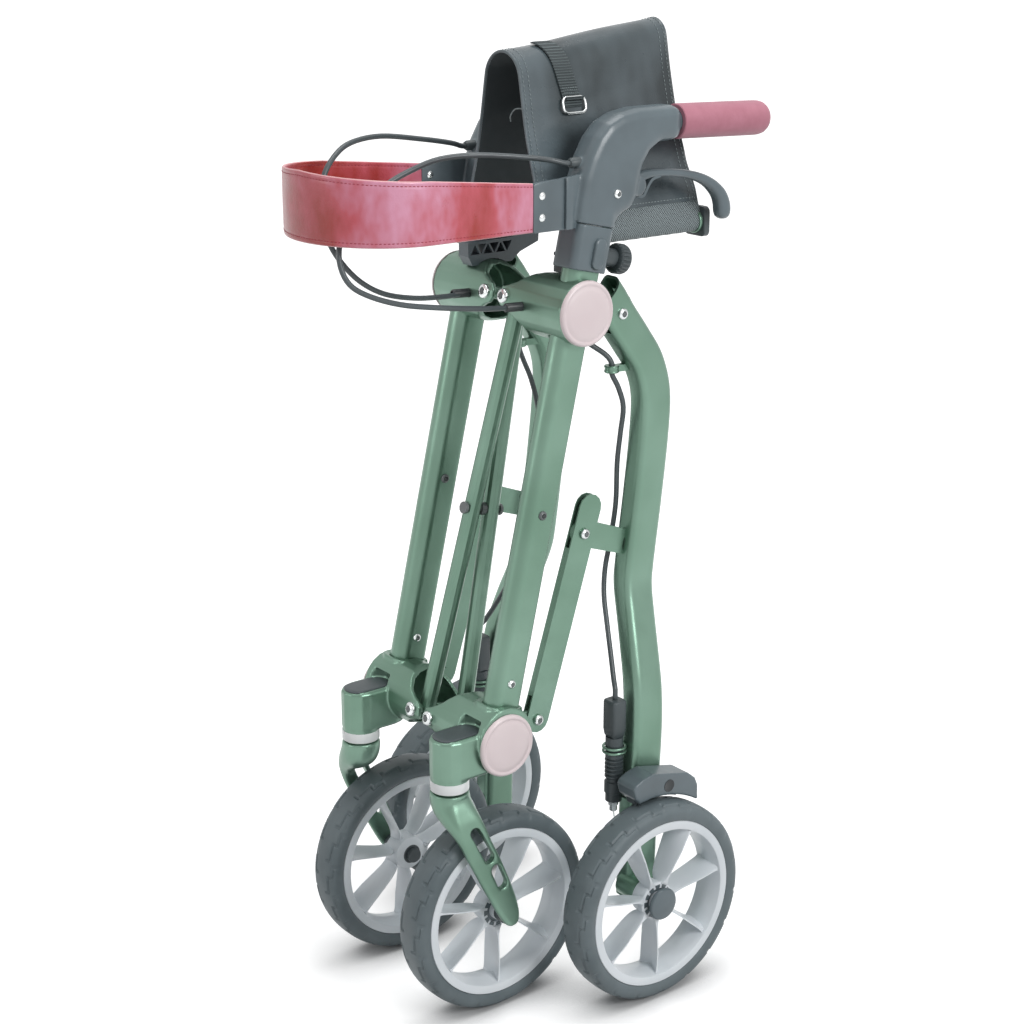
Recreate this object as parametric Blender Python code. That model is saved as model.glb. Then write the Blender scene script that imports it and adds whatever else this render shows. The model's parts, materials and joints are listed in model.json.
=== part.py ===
"""Folding rollator, shown folded: side-folding cross brace, two leg frames, sliding hubs and swinging rear legs.

Metres, +Z up. The user walks behind it and faces -Y; +X is the user's left. The origin is on the ground under the
middle of the folded frame. Lengths along Y are measured from the lower brace pins and moved to the origin at the end.
"""
import math

import bmesh
import bpy
from mathutils import Matrix, Vector

# Overall layout
LENGTH_CENTRE = 0.11395     # middle of the whole length, behind the lower brace pins
CLEARANCE = 0.0003          # between pieces that touch or hold each other
RUNNING = 0.0005            # between a pin and the hole that turns on it
OVERCUT = 0.0100            # how far a cutter runs past what it cuts

# Front legs, which lean back
LEAN = math.radians(12.9)
LEG_X = 0.0760
LEG_WIDTH = 0.0250
LEG_DEPTH = 0.0320
LEG_WALL = 0.0022
LEG_N = 0.0286              # leg centre line behind the plane of the brace pins
LEG_TOP = 0.4760            # along the leg, from the lower brace pins
LEG_FOOT = -0.0090
LEG_CORNER = 0.0040
GROOVE_DEPTH = 0.0010
GROOVE_WIDTH = 0.0036
GROOVE_N = 0.0030           # groove in front of the leg's centre line

# Cross brace
LOWER_PIN_Z = 0.2813
PIN_X = 0.01425
PIN_RISE = 0.4043           # from the lower pins to the upper ones, along the leg
PIN_RADIUS = 0.0035
PIN_HEAD_RADIUS = 0.0058
PIN_HEAD_HEIGHT = 0.0030
PIN_SEAT = 0.0012           # how deep the rear heads sit in the hub's round back
SPACER_RADIUS = 0.0062
BRACE_RADIUS = 0.0080
BRACE_WALL = 0.0016
BRACE_END = 0.0090          # tube beyond its pin
BRACE_GAP = 0.0060          # between the two tubes

# Hubs
HUB_RADIUS = 0.0300
HUB_BORE_RADIUS = 0.0255
HUB_BORE_DEPTH = 0.0580
HUB_END_X = 0.0965
HUB_SHOULDER_X = 0.0450     # where the hub has its full radius
EAR_RADIUS = 0.0110
LOWER_HUB_E = 0.0060        # lower hub axis above the lower pins
SOCKET_TOP = 0.0340
SOCKET_WALL = 0.0042
CAP_THICKNESS = 0.0045
CAP_SPIGOT_RADIUS = 0.0200
CAP_SPIGOT_DEPTH = 0.0035
CAP_STEP = 0.0014
CAP_RIM = 0.0035
CAP_SIDES = 24
SLIDE_CLEARANCE = 0.0004
CABLE_PORT_X = 0.0400
CABLE_PORT_Z = 0.6700
CABLE_PORT_RADIUS = 0.0034
LOWER_CABLE_EXIT = (0.0520, 0.1400, 0.6440)

# Links and rear leg pivots, as places in the side view
LINK_FOOT = (0.0792, 0.2813)
LINK_TAB = (0.1337, 0.4551)
LINK_BEYOND = 0.0380
LINK_X = 0.0750
LINK_WIDTH = 0.0080
LINK_DEPTH = 0.0260
LINK_WALL = 0.0015
LINK_WEB_CUT = 0.0220
LINK_WEB_END = 0.0160       # the web stops this far below the tab, which swings up between the flanges
LUG_THICKNESS = 0.0040
LUG_RADIUS = 0.0105
TAB_HEIGHT = 0.0270
TAB_REACH = 0.0600
TAB_PLAY = 0.0027           # the tab's hole is opened, because the two swings are not quite in proportion
HINGE = (0.1690, 0.6610)
HINGE_LUG_WIDTH = 0.0130
HINGE_LUG_RADIUS = 0.0120
HINGE_BOLT_RADIUS = 0.0040
HINGE_HEAD_RADIUS = 0.0070
CHEEK_RADIUS = 0.0185
CHEEK_PROUD = 0.0004

# Rear legs
REAR_LEG_WIDTH = 0.0250
REAR_LEG_DEPTH = 0.0360
REAR_LEG_CORNER = 0.0080
REAR_LEG_ROUTE = (
    (0.0750, 0.1690, 0.6610), (0.0750, 0.1900, 0.6330), (0.0750, 0.2070, 0.6080), (0.0750, 0.2160, 0.5780),
    (0.0750, 0.2150, 0.5380), (0.0750, 0.2080, 0.4750), (0.0750, 0.1990, 0.4120), (0.0775, 0.1965, 0.3900),
    (0.0860, 0.1930, 0.3650), (0.0980, 0.1880, 0.3340), (0.1090, 0.1835, 0.3000), (0.1145, 0.1800, 0.2600),
    (0.1150, 0.1770, 0.2000), (0.1150, 0.1750, 0.1400), (0.1150, 0.1740, 0.0860))

# Wheels
WHEEL_RADIUS = 0.1000
TYRE_WIDTH = 0.0360
RIM_RADIUS = 0.0840
RIM_LIP_RADIUS = 0.0765
SPOKES = 7
WHEEL_SIDES = 28
SPOKE_THICKNESS = 0.0060
SPOKE_SECTIONS = (          # radius, width, lift to the outer face, twist in degrees
    (0.0125, 0.0140, 0.0070, 30), (0.0450, 0.0140, 0.0060, 16), (0.0790, 0.0210, 0.0030, 4))
WHEEL_HUB_RADIUS = 0.0150
WHEEL_HUB_HALF = 0.0130
AXLE_RADIUS = 0.0042
AXLE_CAP_RADIUS = 0.0135
AXLE_HEAD_RADIUS = 0.0070
REAR_WHEEL = (0.1550, 0.1600, 0.1000)
FRONT_WHEEL = (0.0740, 0.0290, 0.1000)

# Casters
CASTER_X = 0.0740
CASTER_Y = -0.0205
HOUSING_RADIUS = 0.0185
HOUSING_BOTTOM = 0.2360
HOUSING_STEP = 0.2480
HOUSING_TOP = 0.2900
HOUSING_REACH = 0.0300      # how far the housing runs back into the hub
INSET_DEPTH = 0.0012
INSET_LENGTH = 0.0520
INSET_WIDTH = 0.0300
INSET_OFFSET = 0.0085
STEM_RADIUS = 0.0060
STEM_TOP = 0.2750
FORK_TOP = 0.2350
FORK_ARM_X = (0.0970, 0.1050)
FORK_SLOT_RADIUS = 0.0052
FORK_SLOTS = (((-0.0120, 0.1990), (0.0040, 0.1700)), ((0.0110, 0.1560), (0.0185, 0.1370)))
FORK_ARM = (                # side view, down the front edge and up the rear one
    (-0.0390, 0.2300), (-0.0370, 0.2100), (-0.0270, 0.1870), (-0.0060, 0.1500), (0.0090, 0.1220), (0.0170, 0.1020),
    (0.0210, 0.0940), (0.0270, 0.0890), (0.0340, 0.0890), (0.0400, 0.0930), (0.0430, 0.1010), (0.0380, 0.1250),
    (0.0260, 0.1490), (0.0110, 0.1800), (0.0020, 0.2030), (-0.0015, 0.2300))
FORK_YOKE = (               # front view, from the stem to the arm
    (0.0570, 0.2345), (0.0820, 0.2345), (0.0930, 0.2320), (0.1010, 0.2260), (0.1050, 0.2160), (0.1050, 0.2060),
    (0.0970, 0.2060), (0.0950, 0.2130), (0.0880, 0.2190), (0.0780, 0.2210), (0.0570, 0.2210))

# Brakes
COVER_X = (0.1282, 0.1530)
COVER_WALL = 0.0030
TYRE_CLEARANCE = 0.0040
COVER_TOP = (               # side view of the pod over the tyre, front to rear
    (0.1225, 0.2020), (0.1260, 0.2180), (0.1340, 0.2310), (0.1450, 0.2390), (0.1560, 0.2415), (0.2030, 0.2415),
    (0.2150, 0.2370), (0.2250, 0.2240), (0.2370, 0.1960), (0.2400, 0.1830))
COVER_HOLLOW = (
    (0.1290, 0.1900), (0.1300, 0.2150), (0.1370, 0.2280), (0.1470, 0.2355), (0.1560, 0.2385), (0.2020, 0.2385),
    (0.2130, 0.2340), (0.2220, 0.2230), (0.2330, 0.1960), (0.2350, 0.1600), (0.1600, 0.1500))
SHOE_PIVOT = (0.2020, 0.2110)
SHOE_X = (0.1370, 0.1480)
SHOE_GAP = 0.0020
SHOE_PIN_RADIUS = 0.0030
ADJUSTER_X = 0.1080
ADJUSTER_Y = 0.1500
BELLOWS_RIBS = 4
BELLOWS_PITCH = 0.0048
RINGS = (                   # on the rear leg: centre, inner and outer radius, low, high
    ((0.1080, 0.1500), 0.0091, 0.0130, 0.2340, 0.2540),
    ((0.0700, 0.1720), 0.0042, 0.0068, 0.6020, 0.6100))
RING_ARM_X = 0.0030
RING_ARM_Y = 0.0200
CABLE_RADIUS = 0.0025
LEVER_PIVOT = (0.1850, 0.7760)
LEVER_X = (0.0740, 0.0860)
LEVER_PIN_RADIUS = 0.0030
LEVER_SLOT_RADIUS = 0.0140

# Handles
COLLAR_E = (0.4410, 0.4820)
COLLAR_WIDTH = 0.0340
COLLAR_DEPTH = 0.0420
CLAMP_REACH = 0.0415        # clamp ears behind the leg's centre line
CLAMP_E = 0.4560
KNOB_STEM_N = 0.0260
KNOB_RADIUS = 0.0140
KNOB_THICKNESS = 0.0130
KNOB_LOBES = 8
POST_WALL = 0.0020
POST_FOOT = 0.2300
POST_TOP = 0.5050
CASTING_X = (0.0610, 0.0930)
CASTING_BEVEL = 0.0090
HANDLE_OUTLINE = (          # side view, up the front and back along the underside
    (0.1100, 0.7250), (0.1140, 0.7620), (0.1190, 0.7880), (0.1260, 0.8060), (0.1360, 0.8230), (0.1480, 0.8350),
    (0.1640, 0.8420), (0.1840, 0.8450), (0.2350, 0.8450), (0.2350, 0.8135), (0.2100, 0.8130), (0.1980, 0.8060),
    (0.1900, 0.7940), (0.1860, 0.7800), (0.1830, 0.7660), (0.1760, 0.7560), (0.1600, 0.7500), (0.1560, 0.7250))
TONGUE_OUTLINE = (
    (0.0690, 0.7450), (0.1300, 0.7450), (0.1300, 0.7920), (0.1200, 0.7910), (0.0690, 0.7880), (0.0670, 0.7860),
    (0.0670, 0.7470))
FERRULE = (0.0775, 0.1160, 0.8010)
FERRULE_RADIUS = 0.0046
LEVER_OUTLINE = (           # side view, along the top to the hook and back underneath
    (0.1840, 0.7880), (0.2050, 0.7885), (0.2350, 0.7875), (0.2640, 0.7825), (0.2850, 0.7755), (0.3000, 0.7640),
    (0.3080, 0.7500), (0.3100, 0.7360), (0.3060, 0.7280), (0.2950, 0.7275), (0.2870, 0.7350), (0.2860, 0.7480),
    (0.2790, 0.7600), (0.2660, 0.7700), (0.2400, 0.7780), (0.2150, 0.7790), (0.2040, 0.7740), (0.1980, 0.7620),
    (0.1920, 0.7570), (0.1860, 0.7620), (0.1810, 0.7700))
GRIP_START = (0.0780, 0.2355, 0.8292)
GRIP_LENGTH = 0.1110
GRIP_DROP = math.radians(2.0)
GRIP_RADIUS = 0.0160
BAR_RADIUS = 0.0110

# Seat
RAIL_X = 0.0505
RAIL_Z = 0.7300
RAIL_RADIUS = 0.0080
RAIL_Y = (0.1500, 0.2960)
RAIL_STOP_RADIUS = 0.0130
SEAT_THICKNESS = 0.0020
SEAT_LEAN = 14.0            # degrees from upright
SEAT_FOLD_RADIUS = 0.0180
SEAT_Y = (0.0880, 0.3050)
SEAT_SIDE = (               # side view of the folded seat
    (0.1010, 0.7570), (0.0990, 0.8300), (0.0980, 0.9400), (0.2780, 0.9400), (0.2800, 0.8300), (0.2830, 0.7900),
    (0.2940, 0.7570), (0.2895, 0.7480), (0.2895, 0.7000), (0.1770, 0.7000), (0.1770, 0.7570))
HEM_WRAP = 235.0            # degrees round the rail
HEM_STEPS = 10
FOLD_STEPS = 5
PULL_WIDTH = 0.0200
PULL_THICKNESS = 0.0016
PULL_Y = (0.1390, 0.1560)   # at the fold and at the ring
PULL_LENGTH = 0.0520        # below the fold
RING_WIRE = 0.0012
RING_HEIGHT = 0.0130
BRACKET_X = (0.0430, 0.0580)
BRACKET_OUTLINE = (
    (0.0910, 0.7160), (0.0910, 0.7030), (0.0960, 0.6940), (0.1420, 0.6940), (0.1520, 0.7020), (0.1740, 0.7100),
    (0.1750, 0.7260), (0.1465, 0.7360), (0.1430, 0.7170))
BRACKET_RIBS = 6
BRACKET_FIRST_RIB = 0.0990
BRACKET_RIB_PITCH = 0.0075
BRACKET_RIB_HEIGHT = 0.0095
BRACKET_RIB_Z = 0.7090

# Backrest strap
STRAP_X = 0.0840
STRAP_REAR_Y = 0.0667
STRAP_BEND_Y = -0.0400
STRAP_NOSE_Y = -0.1170
STRAP_THICKNESS = 0.0030
STRAP_LOW = 0.7450
STRAP_HIGH_REAR = 0.7880
STRAP_HIGH_BEND = 0.7990
STRAP_HIGH_NOSE = 0.8060
STRAP_PIN_Y = 0.0760        # the rivets that the strap swings on
TONGUE_THICKNESS = 0.0040
STRAP_JOINT_GAP = 0.0003
STRAP_ARC_STEPS = 12

# Brake cables, by hand
UPPER_CABLE = (
    (0.0775, 0.1156, 0.8010), (0.0773, 0.1090, 0.8012), (0.0735, 0.0980, 0.8040), (0.0640, 0.0800, 0.8070), (0.0480, 0.0370, 0.8110),
    (0.0360, 0.0030, 0.8090), (0.0280, -0.0230, 0.8000), (0.0250, -0.0450, 0.7900), (0.0240, -0.0670, 0.7770),
    (0.0260, -0.0890, 0.7570), (0.0300, -0.0985, 0.7350), (0.0360, -0.0950, 0.7140), (0.0400, -0.0790, 0.7010),
    (0.0430, -0.0460, 0.6890), (0.0440, -0.0040, 0.6810), (0.0430, 0.0400, 0.6745), (0.0410, 0.0700, 0.6712),
    (0.0400, 0.0960, 0.6700))
RIGHT_UPPER_CABLE = (
    (0.0775, 0.1156, 0.8010), (0.0775, 0.1090, 0.8012), (0.0770, 0.0960, 0.8050), (0.0755, 0.0630, 0.8110), (0.0690, 0.0130, 0.8180),
    (0.0580, -0.0270, 0.8160), (0.0500, -0.0500, 0.8060), (0.0440, -0.0650, 0.7900), (0.0380, -0.0730, 0.7670),
    (0.0320, -0.0710, 0.7410), (0.0270, -0.0620, 0.7200), (0.0240, -0.0430, 0.6990), (0.0250, -0.0160, 0.6840),
    (0.0300, 0.0200, 0.6750), (0.0360, 0.0550, 0.6710), (0.0390, 0.0780, 0.6702), (0.0400, 0.0960, 0.6700))
LOWER_CABLE = (
    (0.0520, 0.1370, 0.6480), (0.0530, 0.1460, 0.6370), (0.0575, 0.1580, 0.6280), (0.0660, 0.1680, 0.6190),
    (0.0700, 0.1720, 0.6110), (0.0702, 0.1722, 0.6010), (0.0720, 0.1790, 0.5870), (0.0700, 0.1870, 0.5670), (0.0630, 0.1900, 0.5400),
    (0.0590, 0.1900, 0.5100), (0.0590, 0.1890, 0.4700), (0.0590, 0.1830, 0.4350), (0.0600, 0.1760, 0.4070),
    (0.0660, 0.1700, 0.3830), (0.0770, 0.1650, 0.3580), (0.0900, 0.1590, 0.3330), (0.1020, 0.1530, 0.3120),
    (0.1078, 0.1502, 0.3035), (0.1080, 0.1500, 0.2946))
CABLE_STEP = 0.0150

# Colours and finishes: colour, roughness, metallic
FINISHES = {
    "green_metal": ((0.200, 0.345, 0.245), 0.38, 0.75),
    "cap_plastic": ((0.800, 0.700, 0.700), 0.35, 0.0),
    "grey_plastic": ((0.150, 0.175, 0.185), 0.45, 0.0),
    "dark_plastic": ((0.060, 0.070, 0.075), 0.50, 0.0),
    "steel": ((0.620, 0.640, 0.640), 0.30, 1.0),
    "rim_plastic": ((0.760, 0.780, 0.790), 0.35, 0.0),
    "tyre_rubber": ((0.110, 0.125, 0.135), 0.75, 0.0),
    "grip_rubber": ((0.560, 0.230, 0.290), 0.60, 0.0),
    "strap_leather": ((0.680, 0.170, 0.200), 0.50, 0.0),
    "seat_leather": ((0.060, 0.085, 0.095), 0.50, 0.0),
    "webbing": ((0.040, 0.050, 0.055), 0.80, 0.0),
    "cable_sheath": ((0.050, 0.055, 0.060), 0.45, 0.0),
}

# Frames: the leg's own axes are X, rearward (n) and up along the leg (e)
LEG = Matrix.Translation((0, 0, LOWER_PIN_Z)) @ Matrix.Rotation(-LEAN, 4, "X")
SIDE_VIEW = Matrix(((0, 0, 1, 0), (1, 0, 0, 0), (0, 1, 0, 0), (0, 0, 0, 1)))
FRONT_VIEW = Matrix(((1, 0, 0, 0), (0, 0, 1, 0), (0, 1, 0, 0), (0, 0, 0, 1)))
ALONG_X = Matrix.Rotation(math.pi / 2, 4, "Y")
ALONG_Y = Matrix.Rotation(-math.pi / 2, 4, "X")
CASTER_AXIS = Matrix.Translation((CASTER_X, CASTER_Y, 0))
GRIP_FRAME = Matrix.Translation(GRIP_START) @ Matrix.Rotation(-GRIP_DROP, 4, "X") @ ALONG_Y

BRACE_ANGLE = math.atan2(2 * PIN_X, PIN_RISE)
BRACE_LENGTH = math.hypot(2 * PIN_X, PIN_RISE)
FRONT_BRACE_N = LEG_N - BRACE_RADIUS - BRACE_GAP / 2
REAR_BRACE_N = LEG_N + BRACE_RADIUS + BRACE_GAP / 2
PIN_HOLE = PIN_RADIUS + RUNNING
HUB_CENTRE = tuple((LEG @ Vector((0, LEG_N, PIN_RISE))).yz)

EMPTIES = {}


def clear_scene():
    for item in list(bpy.data.objects):
        bpy.data.objects.remove(item, do_unlink=True)


def finish_of(name):
    material = bpy.data.materials.get(name)
    if material is None:
        colour, roughness, metallic = FINISHES[name]
        material = bpy.data.materials.new(name)
        material.use_nodes = True
        shader = material.node_tree.nodes["Principled BSDF"]
        shader.inputs["Base Color"].default_value = (*colour, 1.0)
        shader.inputs["Roughness"].default_value = roughness
        shader.inputs["Metallic"].default_value = metallic
        material.diffuse_color = (*colour, 1.0)
    return material


# Shapes

def new_solid(mesh_data):
    bmesh.ops.remove_doubles(mesh_data, verts=mesh_data.verts, dist=1e-6)
    bmesh.ops.recalc_face_normals(mesh_data, faces=mesh_data.faces)
    mesh = bpy.data.meshes.new("solid")
    mesh_data.to_mesh(mesh)
    mesh_data.free()
    solid = bpy.data.objects.new("solid", mesh)
    bpy.context.collection.objects.link(solid)
    return solid


def loft(loops, closed=False):
    """A skin over equal loops of points, capped at both ends unless it closes on itself."""
    mesh_data = bmesh.new()
    rings = [[mesh_data.verts.new(point) for point in loop] for loop in loops]
    pairs = list(zip(rings, rings[1:]))
    if closed:
        pairs.append((rings[-1], rings[0]))
    for low, high in pairs:
        for i in range(len(low)):
            j = (i + 1) % len(low)
            mesh_data.faces.new((low[i], low[j], high[j], high[i]))
    if not closed:
        mesh_data.faces.new(rings[0])
        mesh_data.faces.new(rings[-1])
    return new_solid(mesh_data)


def prism(outline, low, high, frame=Matrix.Identity(4)):
    """An outline (u, v) pushed from low to high along the frame's third axis."""
    return loft([[frame @ Vector((u, v, w)) for u, v in outline] for w in (low, high)])


def turned(profile, frame, sides=24):
    """A profile (radius, height) turned round the frame's Z axis; it closes on itself unless it ends on the axis."""
    mesh_data = bmesh.new()
    rings = []
    for radius, height in profile:
        if radius < 1e-6:
            rings.append([mesh_data.verts.new(frame @ Vector((0, 0, height)))] * sides)
            continue
        angles = [2 * math.pi * i / sides for i in range(sides)]
        rings.append([mesh_data.verts.new(frame @ Vector((radius * math.cos(a), radius * math.sin(a), height)))
                      for a in angles])
    pairs = list(zip(rings, rings[1:]))
    if profile[0][0] >= 1e-6 or profile[-1][0] >= 1e-6:
        pairs.append((rings[-1], rings[0]))
    for low, high in pairs:
        for i in range(sides):
            corners = []
            for corner in (low[i], low[(i + 1) % sides], high[(i + 1) % sides], high[i]):
                if corner not in corners:
                    corners.append(corner)
            if len(corners) > 2:
                mesh_data.faces.new(corners)
    return new_solid(mesh_data)


def rod(radius, low, high, frame, sides=14):
    return turned([(0, low), (radius, low), (radius, high), (0, high)], frame, sides)


def arc(centre, radius, start, end, steps):
    """Points on an arc, angles in degrees."""
    points = []
    for i in range(steps + 1):
        angle = math.radians(start + (end - start) * i / steps)
        points.append((centre[0] + radius * math.cos(angle), centre[1] + radius * math.sin(angle)))
    return points


def rounded_box(width, depth, corner, steps=3, centre=(0, 0)):
    points = []
    for x_sign, y_sign, start in ((1, 1, 0), (-1, 1, 90), (-1, -1, 180), (1, -1, 270)):
        corner_centre = (centre[0] + x_sign * (width / 2 - corner), centre[1] + y_sign * (depth / 2 - corner))
        points += arc(corner_centre, corner, start, start + 90, steps)
    return points


def stadium(start, end, radius, steps=7):
    """The outline round two equal circles."""
    angle = math.degrees(math.atan2(end[1] - start[1], end[0] - start[0]))
    return arc(end, radius, angle - 90, angle + 90, steps) + arc(start, radius, angle + 90, angle + 270, steps)


def applied(solid):
    """Turns the object's modifiers into its mesh."""
    graph = bpy.context.evaluated_depsgraph_get()
    mesh = bpy.data.meshes.new_from_object(solid.evaluated_get(graph))
    solid.modifiers.clear()
    solid.data = mesh
    return solid


def is_closed(solid):
    mesh_data = bmesh.new()
    mesh_data.from_mesh(solid.data)
    closed = bool(mesh_data.faces) and all(len(edge.link_faces) == 2 for edge in mesh_data.edges)
    mesh_data.free()
    return closed


def combined(solid, other, operation):
    """One Boolean step: the exact solver, or the manifold one where the exact one leaves an open seam."""
    before = solid.data
    for solver in ("EXACT", "MANIFOLD"):
        solid.data = before
        modifier = solid.modifiers.new("combine", "BOOLEAN")
        modifier.operation = operation
        modifier.solver = solver
        modifier.object = other
        applied(solid)
        if is_closed(solid):
            break
    bpy.data.objects.remove(other, do_unlink=True)
    return solid


def joined(solid, *others):
    for other in others:
        combined(solid, other, "UNION")
    return solid


def cut(solid, *others):
    for other in others:
        combined(solid, other, "DIFFERENCE")
    return solid


def eased(solid, width, segments=2, angle=40):
    """Rounds the solid's sharp edges."""
    modifier = solid.modifiers.new("ease", "BEVEL")
    modifier.width = width
    modifier.segments = segments
    modifier.limit_method = "ANGLE"
    modifier.angle_limit = math.radians(angle)
    return applied(solid)


def mirrored(solid):
    mesh = solid.data.copy()
    mesh.transform(Matrix.Scale(-1, 4, (1, 0, 0)))
    mesh.flip_normals()
    other = bpy.data.objects.new("solid", mesh)
    bpy.context.collection.objects.link(other)
    return other


# Bodies and nodes

def body(name, pivot, parent=None):
    """An empty on a joint's axis, which carries the pieces of one moving body."""
    empty = bpy.data.objects.new(name + "_pivot", None)
    bpy.context.collection.objects.link(empty)
    place = Vector(pivot) - Vector((0, LENGTH_CENTRE, 0))
    if parent:
        empty.parent = EMPTIES[parent][0]
        empty.location = place - EMPTIES[parent][1]
    else:
        empty.location = place
    EMPTIES[name] = (empty, place)


def settle(solid, name, carrier, finish):
    """Names a solid, gives it its finish and hangs it on its body's empty."""
    empty, place = EMPTIES[carrier]
    solid.name = name
    solid.data.name = name
    solid.data.materials.clear()
    solid.data.materials.append(finish_of(finish))
    shift = Vector((0, -LENGTH_CENTRE, 0)) - place
    solid.data.transform(Matrix.Translation(shift))
    solid.parent = empty
    if solid.type == "MESH":
        solid.data.shade_smooth()
        solid.data.set_sharp_from_angle(angle=math.radians(35))


def settle_pair(solid, name, carrier, finish):
    other = mirrored(solid)
    settle(solid, "left_" + name, "left_" + carrier, finish)
    settle(other, "right_" + name, "right_" + carrier, finish)


# Legs and brace

def leg_outline(grow=0.0):
    """The leg's section: a round front, flat sides and a flat back."""
    half = LEG_WIDTH / 2 + grow
    front = LEG_N - LEG_DEPTH / 2 - grow
    back = LEG_N + LEG_DEPTH / 2 + grow
    nose = arc((LEG_X, front + half), half, 180, 360, 6)
    right = arc((LEG_X + half - LEG_CORNER, back - LEG_CORNER), LEG_CORNER, 0, 90, 1)
    left = arc((LEG_X - half + LEG_CORNER, back - LEG_CORNER), LEG_CORNER, 90, 180, 1)
    return nose + right + left


def front_leg():
    leg = prism(leg_outline(), LEG_FOOT, LEG_TOP, LEG)
    bore = prism(leg_outline(-LEG_WALL), LEG_FOOT - OVERCUT, LEG_TOP + OVERCUT, LEG)
    cut(leg, bore)
    for side in (-1, 1):
        middle = (LEG_X + side * LEG_WIDTH / 2, LEG_N - GROOVE_N)
        groove = rounded_box(2 * GROOVE_DEPTH, GROOVE_WIDTH, GROOVE_DEPTH / 2, 1, middle)
        cut(leg, prism(groove, LEG_FOOT - OVERCUT, LEG_TOP + OVERCUT, LEG))
    return leg


def brace_frame(lower_x, n):
    """Z runs up the tube from its lower pin, and the pins lie along Y."""
    tilt = -BRACE_ANGLE if lower_x > 0 else BRACE_ANGLE
    return LEG @ Matrix.Translation((lower_x, n, 0)) @ Matrix.Rotation(tilt, 4, "Y")


def brace_tube(lower_x, n):
    frame = brace_frame(lower_x, n)
    low, high = -BRACE_END, BRACE_LENGTH + BRACE_END
    inner = BRACE_RADIUS - BRACE_WALL
    tube = turned([(inner, low), (BRACE_RADIUS, low), (BRACE_RADIUS, high), (inner, high)], frame, 14)
    for height in (0, BRACE_LENGTH / 2, BRACE_LENGTH):
        across = frame @ Matrix.Translation((0, 0, height)) @ ALONG_Y
        cut(tube, rod(PIN_HOLE, -2 * BRACE_RADIUS, 2 * BRACE_RADIUS, across, 10))
    return tube


def stepped_pin(x, e, spans):
    """A pin along n, given as (radius, from, to) in order."""
    profile = [(0, spans[0][1])]
    for radius, low, high in spans:
        profile += [(radius, low), (radius, high)]
    profile.append((0, spans[-1][2]))
    return turned(profile, LEG @ Matrix.Translation((x, 0, e)) @ ALONG_Y, 10)


def brace_end_pin(x, e, tube_n):
    """The headed pin in a hub, with the spacers that hold its tube in line."""
    front = tube_n - BRACE_RADIUS - RUNNING
    back = tube_n + BRACE_RADIUS + RUNNING
    hub_back = LEG_N + HUB_RADIUS - PIN_SEAT
    return stepped_pin(x, e, ((PIN_HEAD_RADIUS, -PIN_HEAD_HEIGHT, 0), (SPACER_RADIUS, 0, front),
                              (PIN_RADIUS, front, back), (SPACER_RADIUS, back, hub_back),
                              (PIN_HEAD_RADIUS, hub_back, hub_back + PIN_HEAD_HEIGHT)))


def brace_pivot():
    front = FRONT_BRACE_N - BRACE_RADIUS - CLEARANCE
    back = REAR_BRACE_N + BRACE_RADIUS + CLEARANCE
    inner_front = FRONT_BRACE_N + BRACE_RADIUS + CLEARANCE
    inner_back = REAR_BRACE_N - BRACE_RADIUS - CLEARANCE
    return stepped_pin(0, PIN_RISE / 2, ((PIN_HEAD_RADIUS, front - PIN_HEAD_HEIGHT, front),
                                         (PIN_RADIUS, front, inner_front), (SPACER_RADIUS, inner_front, inner_back),
                                         (PIN_RADIUS, inner_back, back),
                                         (PIN_HEAD_RADIUS, back, back + PIN_HEAD_HEIGHT)))


# Hubs

def hub_axis(e):
    return LEG @ Matrix.Translation((0, LEG_N, e)) @ ALONG_X


def taper(start, end, steps=3):
    """Points of a smooth step between two places."""
    points = []
    for i in range(steps + 1):
        t = i / steps
        ease = t * t * (3 - 2 * t)
        points.append((start[0] + (end[0] - start[0]) * t, start[1] + (end[1] - start[1]) * ease))
    return points


def hub_barrel(centre_e, ear_e):
    """A barrel across the leg that narrows, seen from the front, to an ear round the brace pin."""
    bottom, top = centre_e - HUB_RADIUS, centre_e + HUB_RADIUS
    outline = arc((PIN_X, ear_e), EAR_RADIUS, 90, 270, 5)
    outline += taper((PIN_X, ear_e - EAR_RADIUS), (HUB_SHOULDER_X, bottom))[1:]
    outline += [(HUB_END_X, bottom), (HUB_END_X, top)]
    outline += taper((HUB_SHOULDER_X, top), (PIN_X, ear_e + EAR_RADIUS))[:-1]
    reach = LEG_N + HUB_RADIUS + OVERCUT
    barrel = prism(outline, -OVERCUT, reach, LEG @ FRONT_VIEW)
    combined(barrel, rod(HUB_RADIUS, -OVERCUT, HUB_END_X + OVERCUT, hub_axis(centre_e), 20), "INTERSECT")
    return barrel


def cap_recess(e):
    low = HUB_END_X - CAP_SPIGOT_DEPTH - CLEARANCE
    return rod(CAP_SPIGOT_RADIUS + CLEARANCE, low, HUB_END_X + OVERCUT, hub_axis(e), CAP_SIDES)


def hub_cap(e):
    base = HUB_END_X + CLEARANCE
    face = base + CAP_THICKNESS
    profile = [(0, base - CAP_SPIGOT_DEPTH), (CAP_SPIGOT_RADIUS, base - CAP_SPIGOT_DEPTH),
               (CAP_SPIGOT_RADIUS, base), (HUB_RADIUS, base), (HUB_RADIUS, face - CAP_STEP),
               (HUB_RADIUS - CAP_STEP, face), (HUB_RADIUS - CAP_RIM, face),
               (HUB_RADIUS - CAP_RIM - CAP_STEP / 2, face - CAP_STEP / 2), (0, face - CAP_STEP / 4)]
    return turned(profile, hub_axis(e), CAP_SIDES)


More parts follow.
